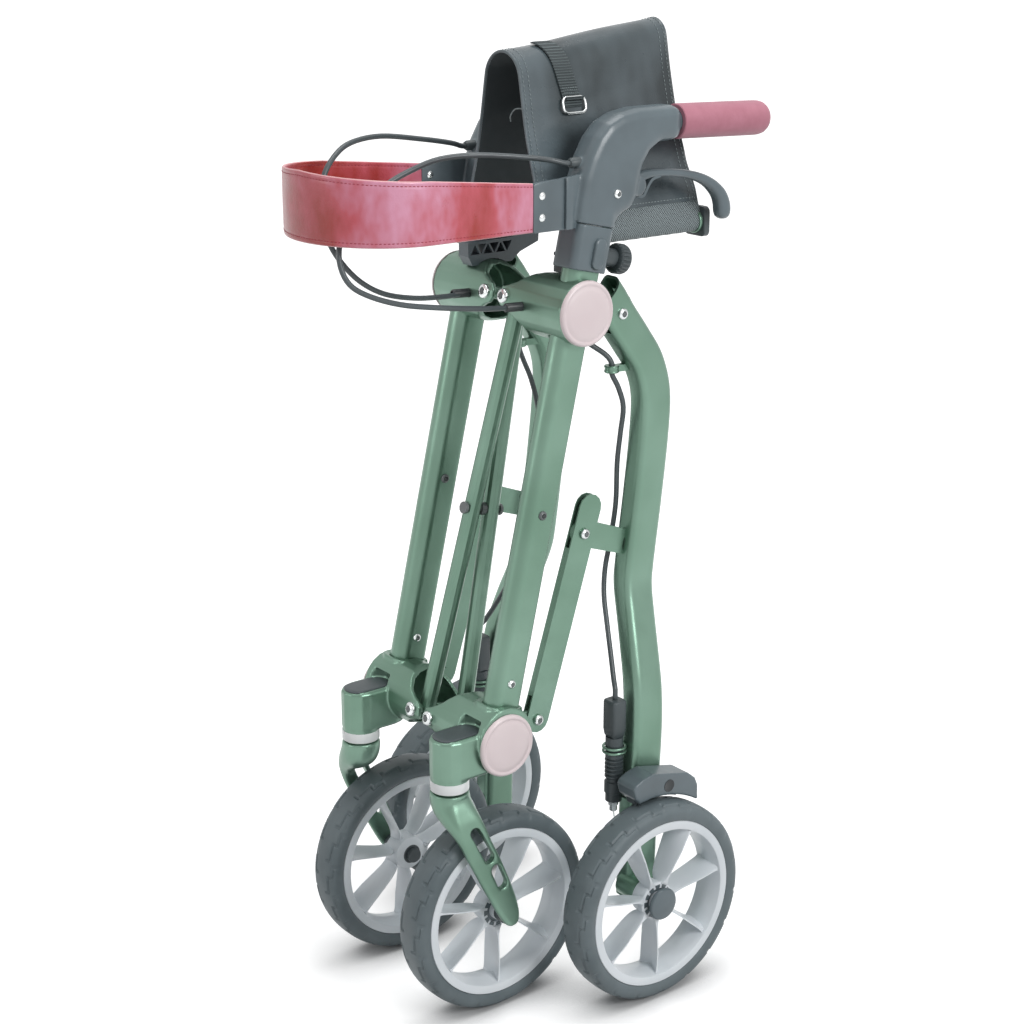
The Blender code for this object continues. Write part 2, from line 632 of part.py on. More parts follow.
def upper_hub():
    hub = hub_barrel(PIN_RISE, PIN_RISE)
    hub_y, hub_z = HUB_CENTRE
    lug = stadium((hub_y, hub_z), HINGE, HINGE_LUG_RADIUS, 6)
    joined(hub, prism(lug, LINK_X - HINGE_LUG_WIDTH / 2, LINK_X + HINGE_LUG_WIDTH / 2, SIDE_VIEW))
    cut(hub, rod(HUB_BORE_RADIUS, -OVERCUT, HUB_BORE_DEPTH, hub_axis(PIN_RISE), 16),
        prism(leg_outline(SLIDE_CLEARANCE), PIN_RISE - 2 * HUB_RADIUS, PIN_RISE + 2 * HUB_RADIUS, LEG),
        cap_recess(PIN_RISE),
        rod(HINGE_BOLT_RADIUS + RUNNING, 0, 2 * LINK_X, Matrix.Translation((0, *HINGE)) @ ALONG_X, 12),
        rod(CABLE_PORT_RADIUS, 0, hub_y, Matrix.Translation((CABLE_PORT_X, 0, CABLE_PORT_Z)) @ ALONG_Y, 8),
        rod(CABLE_PORT_RADIUS, -0.02, 0.02, Matrix.Translation(LOWER_CABLE_EXIT) @ Matrix.Rotation(-2.46, 4, "X"), 8))
    return hub


def lower_hub():
    hub = hub_barrel(LOWER_HUB_E, 0)
    socket = rounded_box(LEG_WIDTH + 2 * SOCKET_WALL, LEG_DEPTH + 2 * SOCKET_WALL, 0.009, 2, (LEG_X, LEG_N))
    joined(hub, prism(socket, LOWER_HUB_E, SOCKET_TOP, LEG))
    housing_end = (CASTER_X, CASTER_Y + HOUSING_REACH)
    housing = prism(stadium((CASTER_X, CASTER_Y), housing_end, HOUSING_RADIUS, 6), HOUSING_STEP, HOUSING_TOP)
    eased(housing, 0.003, 1)
    neck = rod(HOUSING_RADIUS - 0.0006, HOUSING_BOTTOM, HOUSING_TOP - 0.01, CASTER_AXIS, 16)
    lug = stadium((HUB_RADIUS, LOWER_PIN_Z), LINK_FOOT, LUG_RADIUS, 5)
    joined(hub, housing, neck, prism(lug, LINK_X - LUG_THICKNESS / 2, LINK_X + LUG_THICKNESS / 2, SIDE_VIEW))
    inset_radius = INSET_WIDTH / 2
    inset_middle = CASTER_Y + INSET_OFFSET
    inset_run = INSET_LENGTH / 2 - inset_radius
    inset = stadium((CASTER_X, inset_middle - inset_run), (CASTER_X, inset_middle + inset_run), inset_radius, 5)
    cut(hub, rod(HUB_BORE_RADIUS, -OVERCUT, HUB_BORE_DEPTH, hub_axis(LOWER_HUB_E), 16),
        prism(leg_outline(CLEARANCE), LEG_FOOT - CLEARANCE, SOCKET_TOP + OVERCUT, LEG),
        cap_recess(LOWER_HUB_E),
        rod(PIN_HOLE, 0, 2 * LINK_X, Matrix.Translation((0, *LINK_FOOT)) @ ALONG_X, 10),
        rod(STEM_RADIUS + RUNNING, HOUSING_BOTTOM - OVERCUT, STEM_TOP + RUNNING, CASTER_AXIS, 12),
        prism(inset, HOUSING_TOP - INSET_DEPTH, HOUSING_TOP + OVERCUT))
    return hub


# Links, rear legs and brake parts

def link():
    """A channel from the lower hub to the rear leg's tab, open to the back, with its two rivets."""
    length = math.dist(LINK_FOOT, LINK_TAB)
    angle = math.atan2(LINK_TAB[1] - LINK_FOOT[1], LINK_TAB[0] - LINK_FOOT[0])
    frame = Matrix.Translation((0, *LINK_FOOT)) @ Matrix.Rotation(angle, 4, "X") @ SIDE_VIEW
    half = LINK_DEPTH / 2
    low, high = LINK_X - LINK_WIDTH / 2, LINK_X + LINK_WIDTH / 2
    channel = prism(stadium((0, 0), (length + LINK_BEYOND - half, 0), half), low, high, frame)
    hollow_end = length + LINK_BEYOND + OVERCUT
    hollow = [(-half - OVERCUT, -half - OVERCUT), (hollow_end, -half - OVERCUT),
              (hollow_end, half - LINK_WALL), (-half - OVERCUT, half - LINK_WALL)]
    web = [(-half - OVERCUT, half - 2 * LINK_WALL), (LINK_WEB_CUT, half - 2 * LINK_WALL),
           (LINK_WEB_CUT, half + OVERCUT), (-half - OVERCUT, half + OVERCUT)]
    mouth = [(length - LINK_WEB_END, half - 2 * LINK_WALL), (hollow_end, half - 2 * LINK_WALL),
             (hollow_end, half + OVERCUT), (length - LINK_WEB_END, half + OVERCUT)]
    cut(channel, prism(hollow, low + LINK_WALL, high - LINK_WALL, frame),
        prism(web, low + LINK_WALL, high - LINK_WALL, frame),
        prism(mouth, low + LINK_WALL, high - LINK_WALL, frame))
    for place in ((0, 0), (length, 0)):
        axis = frame @ Matrix.Translation((*place, 0))
        profile = [(0, low - 0.0014), (PIN_RADIUS + 0.002, low - 0.0014), (PIN_RADIUS + 0.002, low + 0.0005),
                   (PIN_RADIUS, low + 0.0005), (PIN_RADIUS, high - 0.0005), (PIN_RADIUS + 0.002, high - 0.0005),
                   (PIN_RADIUS + 0.002, high + 0.0014), (0, high + 0.0014)]
        joined(channel, turned(profile, axis, 10))
    return channel


def rear_leg_section(centre, direction):
    across = Vector((0, direction.z, -direction.y)).normalized()
    return [centre + Vector((u, 0, 0)) + across * v
            for u, v in rounded_box(REAR_LEG_WIDTH, REAR_LEG_DEPTH, REAR_LEG_CORNER, 2)]


def rear_leg():
    route = [Vector(point) for point in REAR_LEG_ROUTE]
    sections = []
    for i, centre in enumerate(route):
        ahead = route[min(i + 1, len(route) - 1)] - route[max(i - 1, 0)]
        sections.append(rear_leg_section(centre, ahead))
    leg = loft(sections)
    inner, outer = route[0].x - REAR_LEG_WIDTH / 2, route[0].x + REAR_LEG_WIDTH / 2
    hinge_axis = Matrix.Translation((0, *HINGE)) @ ALONG_X
    joined(leg, rod(CHEEK_RADIUS, inner - CHEEK_PROUD, outer + CHEEK_PROUD, hinge_axis, 16))
    slot_half = HINGE_LUG_WIDTH / 2 + RUNNING
    cut(leg, rod(CHEEK_RADIUS + 0.002, LINK_X - slot_half, LINK_X + slot_half, hinge_axis, 16))
    joined(leg, rod(HINGE_BOLT_RADIUS, inner + 0.002, outer - 0.002, hinge_axis, 12),
           rod(HINGE_HEAD_RADIUS, outer - 0.001, outer + 0.003, hinge_axis, 12))

    tab = stadium(LINK_TAB, (LINK_TAB[0] + TAB_REACH, LINK_TAB[1] + 0.004), LUG_RADIUS, 4)
    joined(leg, prism(tab, LINK_X - LUG_THICKNESS / 2, LINK_X + LUG_THICKNESS / 2, SIDE_VIEW))
    tab_axis = Matrix.Translation((0, *LINK_TAB)) @ ALONG_X
    cut(leg, rod(PIN_RADIUS + TAB_PLAY, 0.06, 0.09, tab_axis, 12))

    axle_axis = Matrix.Translation((0, REAR_WHEEL[1], REAR_WHEEL[2])) @ ALONG_X
    leg_outer = route[-1].x + REAR_LEG_WIDTH / 2
    wheel_x = REAR_WHEEL[0]
    axle = turned([(0, leg_outer - 0.010), (0.0110, leg_outer - 0.010),
                   (0.0110, wheel_x - WHEEL_HUB_HALF - RUNNING), (AXLE_RADIUS, wheel_x - WHEEL_HUB_HALF - RUNNING),
                   (AXLE_RADIUS, wheel_x + WHEEL_HUB_HALF + RUNNING),
                   (AXLE_CAP_RADIUS, wheel_x + WHEEL_HUB_HALF + RUNNING),
                   (AXLE_CAP_RADIUS, wheel_x + WHEEL_HUB_HALF + 0.0030),
                   (AXLE_CAP_RADIUS - 0.002, wheel_x + WHEEL_HUB_HALF + 0.0045),
                   (0, wheel_x + WHEEL_HUB_HALF + 0.0045)], axle_axis, 12)
    joined(leg, axle)

    for centre, inner_radius, outer_radius, low, high in RINGS:
        arm = prism(stadium(centre, (centre[0] + RING_ARM_X, centre[1] + RING_ARM_Y), outer_radius * 0.6, 3), low, high)
        joined(leg, prism(arc(centre, outer_radius, 0, 330, 11), low, high), arm)
        cut(leg, prism(arc(centre, inner_radius, 0, 330, 11), low - OVERCUT, high + OVERCUT))
    return leg


def tyre(centre):
    half = TYRE_WIDTH / 2
    crown = WHEEL_RADIUS
    profile = [(RIM_RADIUS, -half + 0.002), (crown - 0.009, -half), (crown - 0.0015, -half + 0.005),
               (crown, 0), (crown - 0.0015, half - 0.005), (crown - 0.009, half), (RIM_RADIUS, half - 0.002)]
    return turned(profile, Matrix.Translation(centre) @ ALONG_X, WHEEL_SIDES)


def rim(centre):
    """A rim with seven blades that widen outward and twist from the hub to the ring."""
    frame = Matrix.Translation(centre) @ ALONG_X
    half = TYRE_WIDTH / 2
    outer = RIM_RADIUS - CLEARANCE
    ring = [(outer, -half + 0.001), (outer, half - 0.001), (RIM_LIP_RADIUS + 0.003, half - 0.001),
            (RIM_LIP_RADIUS, 0), (RIM_LIP_RADIUS + 0.003, -half + 0.001)]
    solid = turned(ring, frame, WHEEL_SIDES)
    bore = AXLE_RADIUS + RUNNING
    hub = [(bore, -WHEEL_HUB_HALF), (WHEEL_HUB_RADIUS, -WHEEL_HUB_HALF), (WHEEL_HUB_RADIUS, WHEEL_HUB_HALF),
           (bore, WHEEL_HUB_HALF)]
    joined(solid, turned(hub, frame, 12))
    for i in range(SPOKES):
        turn = frame @ Matrix.Rotation(2 * math.pi * i / SPOKES, 4, "Z")
        loops = []
        for radius, width, lift, twist in SPOKE_SECTIONS:
            twisted = Matrix.Translation((radius, 0, lift)) @ Matrix.Rotation(math.radians(twist), 4, "X")
            loops.append([turn @ twisted @ Vector((0, u, w)) for u, w in
                          ((-width / 2, -SPOKE_THICKNESS / 2), (width / 2, -SPOKE_THICKNESS / 2),
                           (width / 2, SPOKE_THICKNESS / 2), (-width / 2, SPOKE_THICKNESS / 2))])
        joined(solid, loft(loops))
    return solid


def fork():
    """One arm on the outer side, its stem in the housing and the axle it carries."""
    low, high = FORK_ARM_X
    arm = prism(FORK_ARM, low, high, SIDE_VIEW)
    yoke = prism(FORK_YOKE, CASTER_Y - HOUSING_RADIUS, CASTER_Y + HOUSING_RADIUS, FRONT_VIEW)
    joined(arm, yoke)
    eased(arm, 0.0018, 1, 50)
    joined(arm, rod(HOUSING_RADIUS - 0.0006, FORK_TOP - 0.014, FORK_TOP, CASTER_AXIS, 16),
           rod(STEM_RADIUS, FORK_TOP - 0.01, STEM_TOP, CASTER_AXIS, 12))
    for start, end in FORK_SLOTS:
        cut(arm, prism(stadium(start, end, FORK_SLOT_RADIUS, 4), low - OVERCUT, high + OVERCUT, SIDE_VIEW))
    wheel_x, wheel_y, wheel_z = FRONT_WHEEL
    axis = Matrix.Translation((0, wheel_y, wheel_z)) @ ALONG_X
    inner = wheel_x - WHEEL_HUB_HALF - RUNNING
    outer = wheel_x + WHEEL_HUB_HALF + RUNNING
    axle = turned([(0, inner - 0.005), (AXLE_HEAD_RADIUS, inner - 0.005), (AXLE_HEAD_RADIUS, inner),
                   (AXLE_RADIUS, inner), (AXLE_RADIUS, outer), (0.0090, outer), (0.0090, low + 0.001),
                   (AXLE_HEAD_RADIUS, low + 0.001), (AXLE_HEAD_RADIUS, high + 0.003), (0, high + 0.003)], axis, 12)
    return joined(arm, axle)


def brake_cover():
    low, high = COVER_X
    wheel = (REAR_WHEEL[1], REAR_WHEEL[2])
    bottom = arc(wheel, WHEEL_RADIUS + TYRE_CLEARANCE, 43.9, 109.7, 8)
    cover = eased(prism(list(COVER_TOP) + bottom, low, high, SIDE_VIEW), 0.003, 1, 50)
    cut(cover, prism(COVER_HOLLOW, low + COVER_WALL, high - COVER_WALL, SIDE_VIEW))
    axis = Matrix.Translation((0, *SHOE_PIVOT)) @ ALONG_X
    return joined(cover, rod(SHOE_PIN_RADIUS, low + 0.001, high - COVER_WALL + 0.001, axis, 12))


def brake_shoe():
    low, high = SHOE_X
    wheel = (REAR_WHEEL[1], REAR_WHEEL[2])
    face = WHEEL_RADIUS + SHOE_GAP
    pad = prism(arc(wheel, face, 70, 100, 8) + arc(wheel, face + 0.007, 100, 70, 8), low, high, SIDE_VIEW)
    pad_middle = (wheel[0] + (face + 0.005) * math.cos(math.radians(80)),
                  wheel[1] + (face + 0.005) * math.sin(math.radians(80)))
    joined(pad, prism(stadium(pad_middle, SHOE_PIVOT, 0.0045, 6), low, high, SIDE_VIEW))
    axis = Matrix.Translation((0, *SHOE_PIVOT)) @ ALONG_X
    return cut(pad, rod(SHOE_PIN_RADIUS + RUNNING / 2, 0.1, 0.2, axis, 12))


def cable_adjuster():
    """The sheath's end block, its bellows and the adjusting nut."""
    frame = Matrix.Translation((ADJUSTER_X, ADJUSTER_Y, 0))
    profile = [(0, 0.2940), (0.0070, 0.2940), (0.0070, 0.2900), (0.0100, 0.2890), (0.0100, 0.2560), (0.0088, 0.2550)]
    profile += [(0.0088, 0.2330)]
    for i in range(BELLOWS_RIBS):
        top = 0.2320 - i * BELLOWS_PITCH
        profile += [(0.0066, top), (0.0088, top - BELLOWS_PITCH / 2)]
    profile += [(0.0060, 0.2120), (0.0078, 0.2110), (0.0078, 0.1880), (0.0045, 0.1860), (0.0055, 0.1850),
                (0.0055, 0.1810), (0, 0.1810)]
    return turned(profile, frame, 10)


# Handles

def height_collar():
    low, high = COLLAR_E
    collar = prism(rounded_box(COLLAR_WIDTH, COLLAR_DEPTH, 0.008, 4, (LEG_X, LEG_N)), low, high, LEG)
    ear = rounded_box(0.020, 0.026, 0.006, 3, (LEG_X, CLAMP_E))
    joined(collar, prism(ear, LEG_N + COLLAR_DEPTH / 2 - 0.006, LEG_N + CLAMP_REACH - CLEARANCE,
                         LEG @ FRONT_VIEW))
    stem_axis = LEG @ Matrix.Translation((LEG_X, 0, CLAMP_E)) @ ALONG_Y
    return cut(collar, prism(leg_outline(CLEARANCE), low - OVERCUT, LEG_TOP + CLEARANCE, LEG),
               prism(leg_outline(-LEG_WALL), LEG_TOP, high + OVERCUT, LEG),
               rod(PIN_RADIUS + CLEARANCE, LEG_N + KNOB_STEM_N - CLEARANCE, LEG_N + CLAMP_REACH + OVERCUT, stem_axis, 12))


def knob():
    """A lobed hand knob with the stem that clamps the post."""
    start = LEG_N + CLAMP_REACH
    rings = []
    for n, scale in ((0, 0.90), (0.002, 1.0), (KNOB_THICKNESS - 0.002, 1.0), (KNOB_THICKNESS, 0.88)):
        ring = []
        for i in range(2 * KNOB_LOBES):
            angle = 2 * math.pi * i / (2 * KNOB_LOBES)
            radius = scale * (KNOB_RADIUS - (0.0014 if i % 2 else 0))
            ring.append(LEG @ Vector((LEG_X + radius * math.cos(angle), start + n, CLAMP_E + radius * math.sin(angle))))
        rings.append(ring)
    grip = loft(rings)
    axis = LEG @ Matrix.Translation((LEG_X, 0, CLAMP_E)) @ ALONG_Y
    return joined(grip, rod(PIN_RADIUS, LEG_N + KNOB_STEM_N, start + 0.002, axis, 12))


def handle_post():
    outside = -LEG_WALL - RUNNING
    post = prism(leg_outline(outside), POST_FOOT, POST_TOP, LEG)
    return cut(post, prism(leg_outline(outside - POST_WALL), POST_FOOT - OVERCUT, POST_TOP + OVERCUT, LEG))


def handle_casting():
    """The bent handle body, its lever ears, cable ferrule, strap tongue and the bar inside the grip."""
    low, high = CASTING_X
    casting = prism(HANDLE_OUTLINE, low, high, SIDE_VIEW)
    eased(casting, CASTING_BEVEL, 2, 50)
    tongue = prism(TONGUE_OUTLINE, STRAP_X - TONGUE_THICKNESS / 2, STRAP_X + TONGUE_THICKNESS / 2, SIDE_VIEW)
    lever_axis = Matrix.Translation((0, *LEVER_PIVOT)) @ ALONG_X
    ears = rod(0.0100, low + 0.004, high - 0.004, lever_axis, 14)
    ferrule = Matrix.Translation(FERRULE) @ ALONG_Y
    joined(casting, tongue, ears, rod(FERRULE_RADIUS, 0, 0.024, ferrule, 12),
           rod(BAR_RADIUS, -0.030, GRIP_LENGTH - 0.012, GRIP_FRAME, 14))
    slot = stadium(LEVER_PIVOT, (LEVER_PIVOT[0] + 0.040, LEVER_PIVOT[1]), LEVER_SLOT_RADIUS, 6)
    below = rounded_box(0.2, 0.3, 0.01, 1, (LEG_X, LEG_N))
    cut(casting, prism(slot, LEVER_X[0] - RUNNING, LEVER_X[1] + RUNNING, SIDE_VIEW),
        prism(below, 0.35, COLLAR_E[1] + CLEARANCE, LEG),
        prism(leg_outline(-LEG_WALL - RUNNING + CLEARANCE), 0.34, POST_TOP + CLEARANCE, LEG))
    return joined(casting, rod(LEVER_PIN_RADIUS, low + 0.006, high - 0.006, lever_axis, 12))


def grip():
    end = GRIP_LENGTH
    profile = [(BAR_RADIUS + CLEARANCE, CLEARANCE), (GRIP_RADIUS - 0.001, CLEARANCE), (GRIP_RADIUS, 0.0015),
               (GRIP_RADIUS, end - 0.012), (GRIP_RADIUS - 0.0025, end - 0.004), (GRIP_RADIUS - 0.0080, end - 0.0005),
               (0, end), (0, end - 0.0115), (BAR_RADIUS + CLEARANCE, end - 0.0115)]
    return turned(profile, GRIP_FRAME, 18)


def brake_lever():
    lever = prism(LEVER_OUTLINE, *LEVER_X, SIDE_VIEW)
    eased(lever, 0.0018, 1, 50)
    axis = Matrix.Translation((0, *LEVER_PIVOT)) @ ALONG_X
    joined(lever, rod(0.0085, *LEVER_X, axis, 14))
    return cut(lever, rod(LEVER_PIN_RADIUS + RUNNING / 2, 0, 0.2, axis, 12))


# Seat

def seat_bracket():
    """The ribbed bracket that carries the seat rail on the upper hub."""
    low, high = BRACKET_X
    bracket = prism(BRACKET_OUTLINE, low, high, SIDE_VIEW)
    for i in range(BRACKET_RIBS):
        middle = BRACKET_FIRST_RIB + i * BRACKET_RIB_PITCH
        flip = 1 if i % 2 else -1
        half = BRACKET_RIB_PITCH * 0.72
        height = BRACKET_RIB_HEIGHT / 2
        triangle = [(middle - half, BRACKET_RIB_Z + flip * height), (middle + half, BRACKET_RIB_Z + flip * height),
                    (middle, BRACKET_RIB_Z - flip * height)]
        cut(bracket, prism(triangle, low - OVERCUT, high + OVERCUT, SIDE_VIEW))
    rail_axis = Matrix.Translation((RAIL_X, 0, RAIL_Z)) @ ALONG_Y
    return cut(bracket, rod(HUB_RADIUS + CLEARANCE, 0, 0.1, hub_axis(PIN_RISE), 20),
               rod(RAIL_RADIUS + CLEARANCE, RAIL_Y[0] - CLEARANCE, RAIL_Y[1], rail_axis, 16))


def seat_rail():
    start, end = RAIL_Y
    profile = [(0, start), (RAIL_RADIUS, start), (RAIL_RADIUS, end - 0.006), (RAIL_STOP_RADIUS, end - 0.006),
               (RAIL_STOP_RADIUS, end - 0.001), (RAIL_STOP_RADIUS - 0.001, end), (0, end)]
    return turned(profile, Matrix.Translation((RAIL_X, 0, RAIL_Z)) @ ALONG_Y, 16)


def seat_panel():
    """Half of the folded seat: its hem goes round the rail, and it rises to the rounded fold in the middle."""
    middle = RAIL_RADIUS + CLEARANCE + SEAT_THICKNESS / 2
    lean = math.radians(SEAT_LEAN)
    normal = Vector((math.cos(lean), math.sin(lean)))
    along = Vector((-math.sin(lean), math.cos(lean)))
    rail = Vector((RAIL_X, RAIL_Z))
    side = RAIL_X + middle * math.cos(lean)
    fold_start = rail + normal * middle + along * ((side - SEAT_FOLD_RADIUS * math.cos(lean)) / math.sin(lean))
    fold_centre = fold_start - normal * SEAT_FOLD_RADIUS
    centre_line = []
    for i in range(HEM_STEPS + 1):
        angle = lean - math.radians(HEM_WRAP) * (1 - i / HEM_STEPS)
        centre_line.append((rail + Vector((math.cos(angle), math.sin(angle))) * middle, angle))
    for i in range(FOLD_STEPS + 1):
        angle = lean + (math.pi / 2 - lean) * i / FOLD_STEPS
        centre_line.append((fold_centre + Vector((math.cos(angle), math.sin(angle))) * SEAT_FOLD_RADIUS, angle))
    half = SEAT_THICKNESS / 2
    outer = [point + Vector((math.cos(a), math.sin(a))) * half for point, a in centre_line]
    inner = [point - Vector((math.cos(a), math.sin(a))) * half for point, a in centre_line]
    outline = [tuple(point) for point in inner + outer[::-1]]
    panel = prism(outline, SEAT_Y[0], SEAT_Y[1], FRONT_VIEW)
    return combined(panel, prism(SEAT_SIDE, CLEARANCE, 0.1, SIDE_VIEW), "INTERSECT")


def seat_surface(proud):
    """Places (x, z) on the left half's outer side from the fold down, with the panel's normal angle."""
    middle = RAIL_RADIUS + CLEARANCE + SEAT_THICKNESS / 2
    lean = math.radians(SEAT_LEAN)
    run = (RAIL_X + (middle - SEAT_FOLD_RADIUS) * math.cos(lean)) / math.sin(lean)
    normal = Vector((math.cos(lean), math.sin(lean)))
    along = Vector((-math.sin(lean), math.cos(lean)))
    centre = Vector((RAIL_X, RAIL_Z)) + normal * (middle - SEAT_FOLD_RADIUS) + along * run
    reach = SEAT_FOLD_RADIUS + SEAT_THICKNESS / 2 + CLEARANCE + proud
    places = []
    for i in range(FOLD_STEPS + 1):
        angle = math.radians(84) + (lean - math.radians(84)) * i / FOLD_STEPS
        places.append((centre + Vector((math.cos(angle), math.sin(angle))) * reach, angle))
    places.append((places[-1][0] - along * PULL_LENGTH, lean))
    return places


def pull_strap():
    """Webbing that lies over the fold, with the ring that it holds."""
    places = seat_surface(PULL_THICKNESS / 2)
    loops = []
    for i, (place, angle) in enumerate(places):
        y = PULL_Y[0] + (PULL_Y[1] - PULL_Y[0]) * i / (len(places) - 1)
        normal = Vector((math.cos(angle), 0, math.sin(angle))) * PULL_THICKNESS / 2
        point = Vector((place.x, y, place.y))
        half = Vector((0, PULL_WIDTH / 2, 0))
        loops.append([point - half - normal, point + half - normal, point + half + normal, point - half + normal])
    strap = loft(loops)
    end, lean = places[-1]
    down = Vector((math.sin(lean), 0, -math.cos(lean)))
    normal = Vector((math.cos(lean), 0, math.sin(lean)))
    centre = Vector((end.x, PULL_Y[1], end.y)) + normal * (RING_WIRE - PULL_THICKNESS / 2)
    half_width = PULL_WIDTH / 2 + 2 * RING_WIRE
    corners = rounded_box(2 * half_width, RING_HEIGHT, 0.0045, 3)
    loops = []
    for u, v in corners:
        point = centre + Vector((0, u, 0)) + down * v
        inward = (centre - point).normalized()
        loops.append([point + (inward * math.cos(a) + normal * math.sin(a)) * RING_WIRE
                      for a in (0, math.pi / 2, math.pi, 3 * math.pi / 2)])
    return joined(strap, loft(loops, closed=True))


# Backrest strap and cables

def strap_piece(path, first, last):
    """A flat band on edge along places (x, y), whose height grows from the bracket to the nose."""
    total = sum(math.dist(a, b) for a, b in zip(path, path[1:]))
    loops = []
    run = 0.0
    for i, place in enumerate(path):
        if i:
            run += math.dist(path[i - 1], place)
        ahead = Vector(path[min(i + 1, len(path) - 1)]) - Vector(path[max(i - 1, 0)])
        across = Vector((ahead.y, -ahead.x)).normalized() * STRAP_THICKNESS / 2
        high = first + (last - first) * run / total
        inner = Vector(place) - across
        outer = Vector(place) + across
        loops.append([(*inner, STRAP_LOW), (*outer, STRAP_LOW), (*outer, high), (*inner, high)])
    return loft(loops)


def strap_straight():
    return strap_piece([(STRAP_X, STRAP_REAR_Y), (STRAP_X, STRAP_BEND_Y + STRAP_JOINT_GAP)],
                       STRAP_HIGH_REAR, STRAP_HIGH_BEND)


def strap_arc():
    reach = STRAP_BEND_Y - STRAP_NOSE_Y
    path = []
    for i in range(STRAP_ARC_STEPS + 1):
        angle = math.pi / 2 * i / STRAP_ARC_STEPS
        path.append((STRAP_X * math.cos(angle), STRAP_BEND_Y - reach * math.sin(angle)))
    path[-1] = (STRAP_JOINT_GAP, STRAP_NOSE_Y)
    return strap_piece(path, STRAP_HIGH_BEND, STRAP_HIGH_NOSE)


def smooth_route(route, step):
    """Places about a step apart on a smooth curve through the route's points."""
    points = [Vector(point) for point in route]
    padded = [2 * points[0] - points[1]] + points + [2 * points[-1] - points[-2]]
    smooth = [points[0]]
    for i in range(len(points) - 1):
        p0, p1, p2, p3 = padded[i:i + 4]
        count = max(1, round((p2 - p1).length / step))
        for k in range(1, count + 1):
            t = k / count
            smooth.append(0.5 * (2 * p1 + (p2 - p0) * t + (2 * p0 - 5 * p1 + 4 * p2 - p3) * t * t
                                 + (3 * p1 - p0 - 3 * p2 + p3) * t ** 3))
    return smooth


def cable(route, side):
    curve = bpy.data.curves.new("cable", "CURVE")
    curve.dimensions = "3D"
    curve.bevel_depth = CABLE_RADIUS
    curve.bevel_resolution = 2
    curve.use_fill_caps = True
    points = smooth_route(route, CABLE_STEP)
    spline = curve.splines.new("POLY")
    spline.points.add(len(points) - 1)
    for target, point in zip(spline.points, points):
        target.co = (side * point.x, point.y, point.z, 1)
    solid = bpy.data.objects.new("cable", curve)
    bpy.context.collection.objects.link(solid)
    return solid


# The whole rollator

def on_leg(x, n, e):
    return LEG @ Vector((x, n, e))


def make_bodies():
    upper = on_leg(PIN_X, LEG_N, PIN_RISE)
    body("left_frame", on_leg(PIN_X, LEG_N, 0))
    body("brace_rear", on_leg(PIN_X, REAR_BRACE_N, 0), "left_frame")
    body("brace_front", on_leg(0, LEG_N, PIN_RISE / 2), "brace_rear")
    body("right_frame", on_leg(-PIN_X, FRONT_BRACE_N, 0), "brace_front")
    body("left_slider", upper, "brace_front")
    body("right_slider", on_leg(-PIN_X, LEG_N, PIN_RISE), "brace_rear")
    for side, sign in (("left_", 1), ("right_", -1)):
        frame, slider, leg, post = side + "frame", side + "slider", side + "rear_leg", side + "handle"
        body(leg, (sign * LINK_X, *HINGE), slider)
        body(side + "link", (sign * LINK_X, *LINK_FOOT), frame)
        body(side + "rear_wheel", (sign * REAR_WHEEL[0], *REAR_WHEEL[1:]), leg)
        body(side + "brake_shoe", (sign * SHOE_X[0], *SHOE_PIVOT), leg)
        body(side + "caster", (sign * CASTER_X, CASTER_Y, FORK_TOP), frame)
        body(side + "front_wheel", (sign * FRONT_WHEEL[0], *FRONT_WHEEL[1:]), side + "caster")
        body(post, on_leg(sign * LEG_X, LEG_N, LEG_TOP), frame)
        body(side + "knob", on_leg(sign * LEG_X, LEG_N + CLAMP_REACH, CLAMP_E), frame)
        body(side + "lever", (sign * LEG_X, *LEVER_PIVOT), post)
        body(side + "cable", (sign * CABLE_PORT_X, HUB_CENTRE[0], CABLE_PORT_Z), post)
    body("left_seat", (RAIL_X, RAIL_Y[0], RAIL_Z), "left_slider")
    body("right_seat", (0, SEAT_SIDE[0][0], seat_surface(0)[0][0].y), "left_seat")
    body("strap_left_rear", (STRAP_X, STRAP_PIN_Y, STRAP_LOW), "left_handle")
    body("strap_left_front", (STRAP_X, STRAP_BEND_Y, STRAP_LOW), "strap_left_rear")
    body("strap_right_front", (0, STRAP_NOSE_Y, STRAP_LOW), "strap_left_front")
    body("strap_right_rear", (-STRAP_X, STRAP_BEND_Y, STRAP_LOW), "strap_right_front")


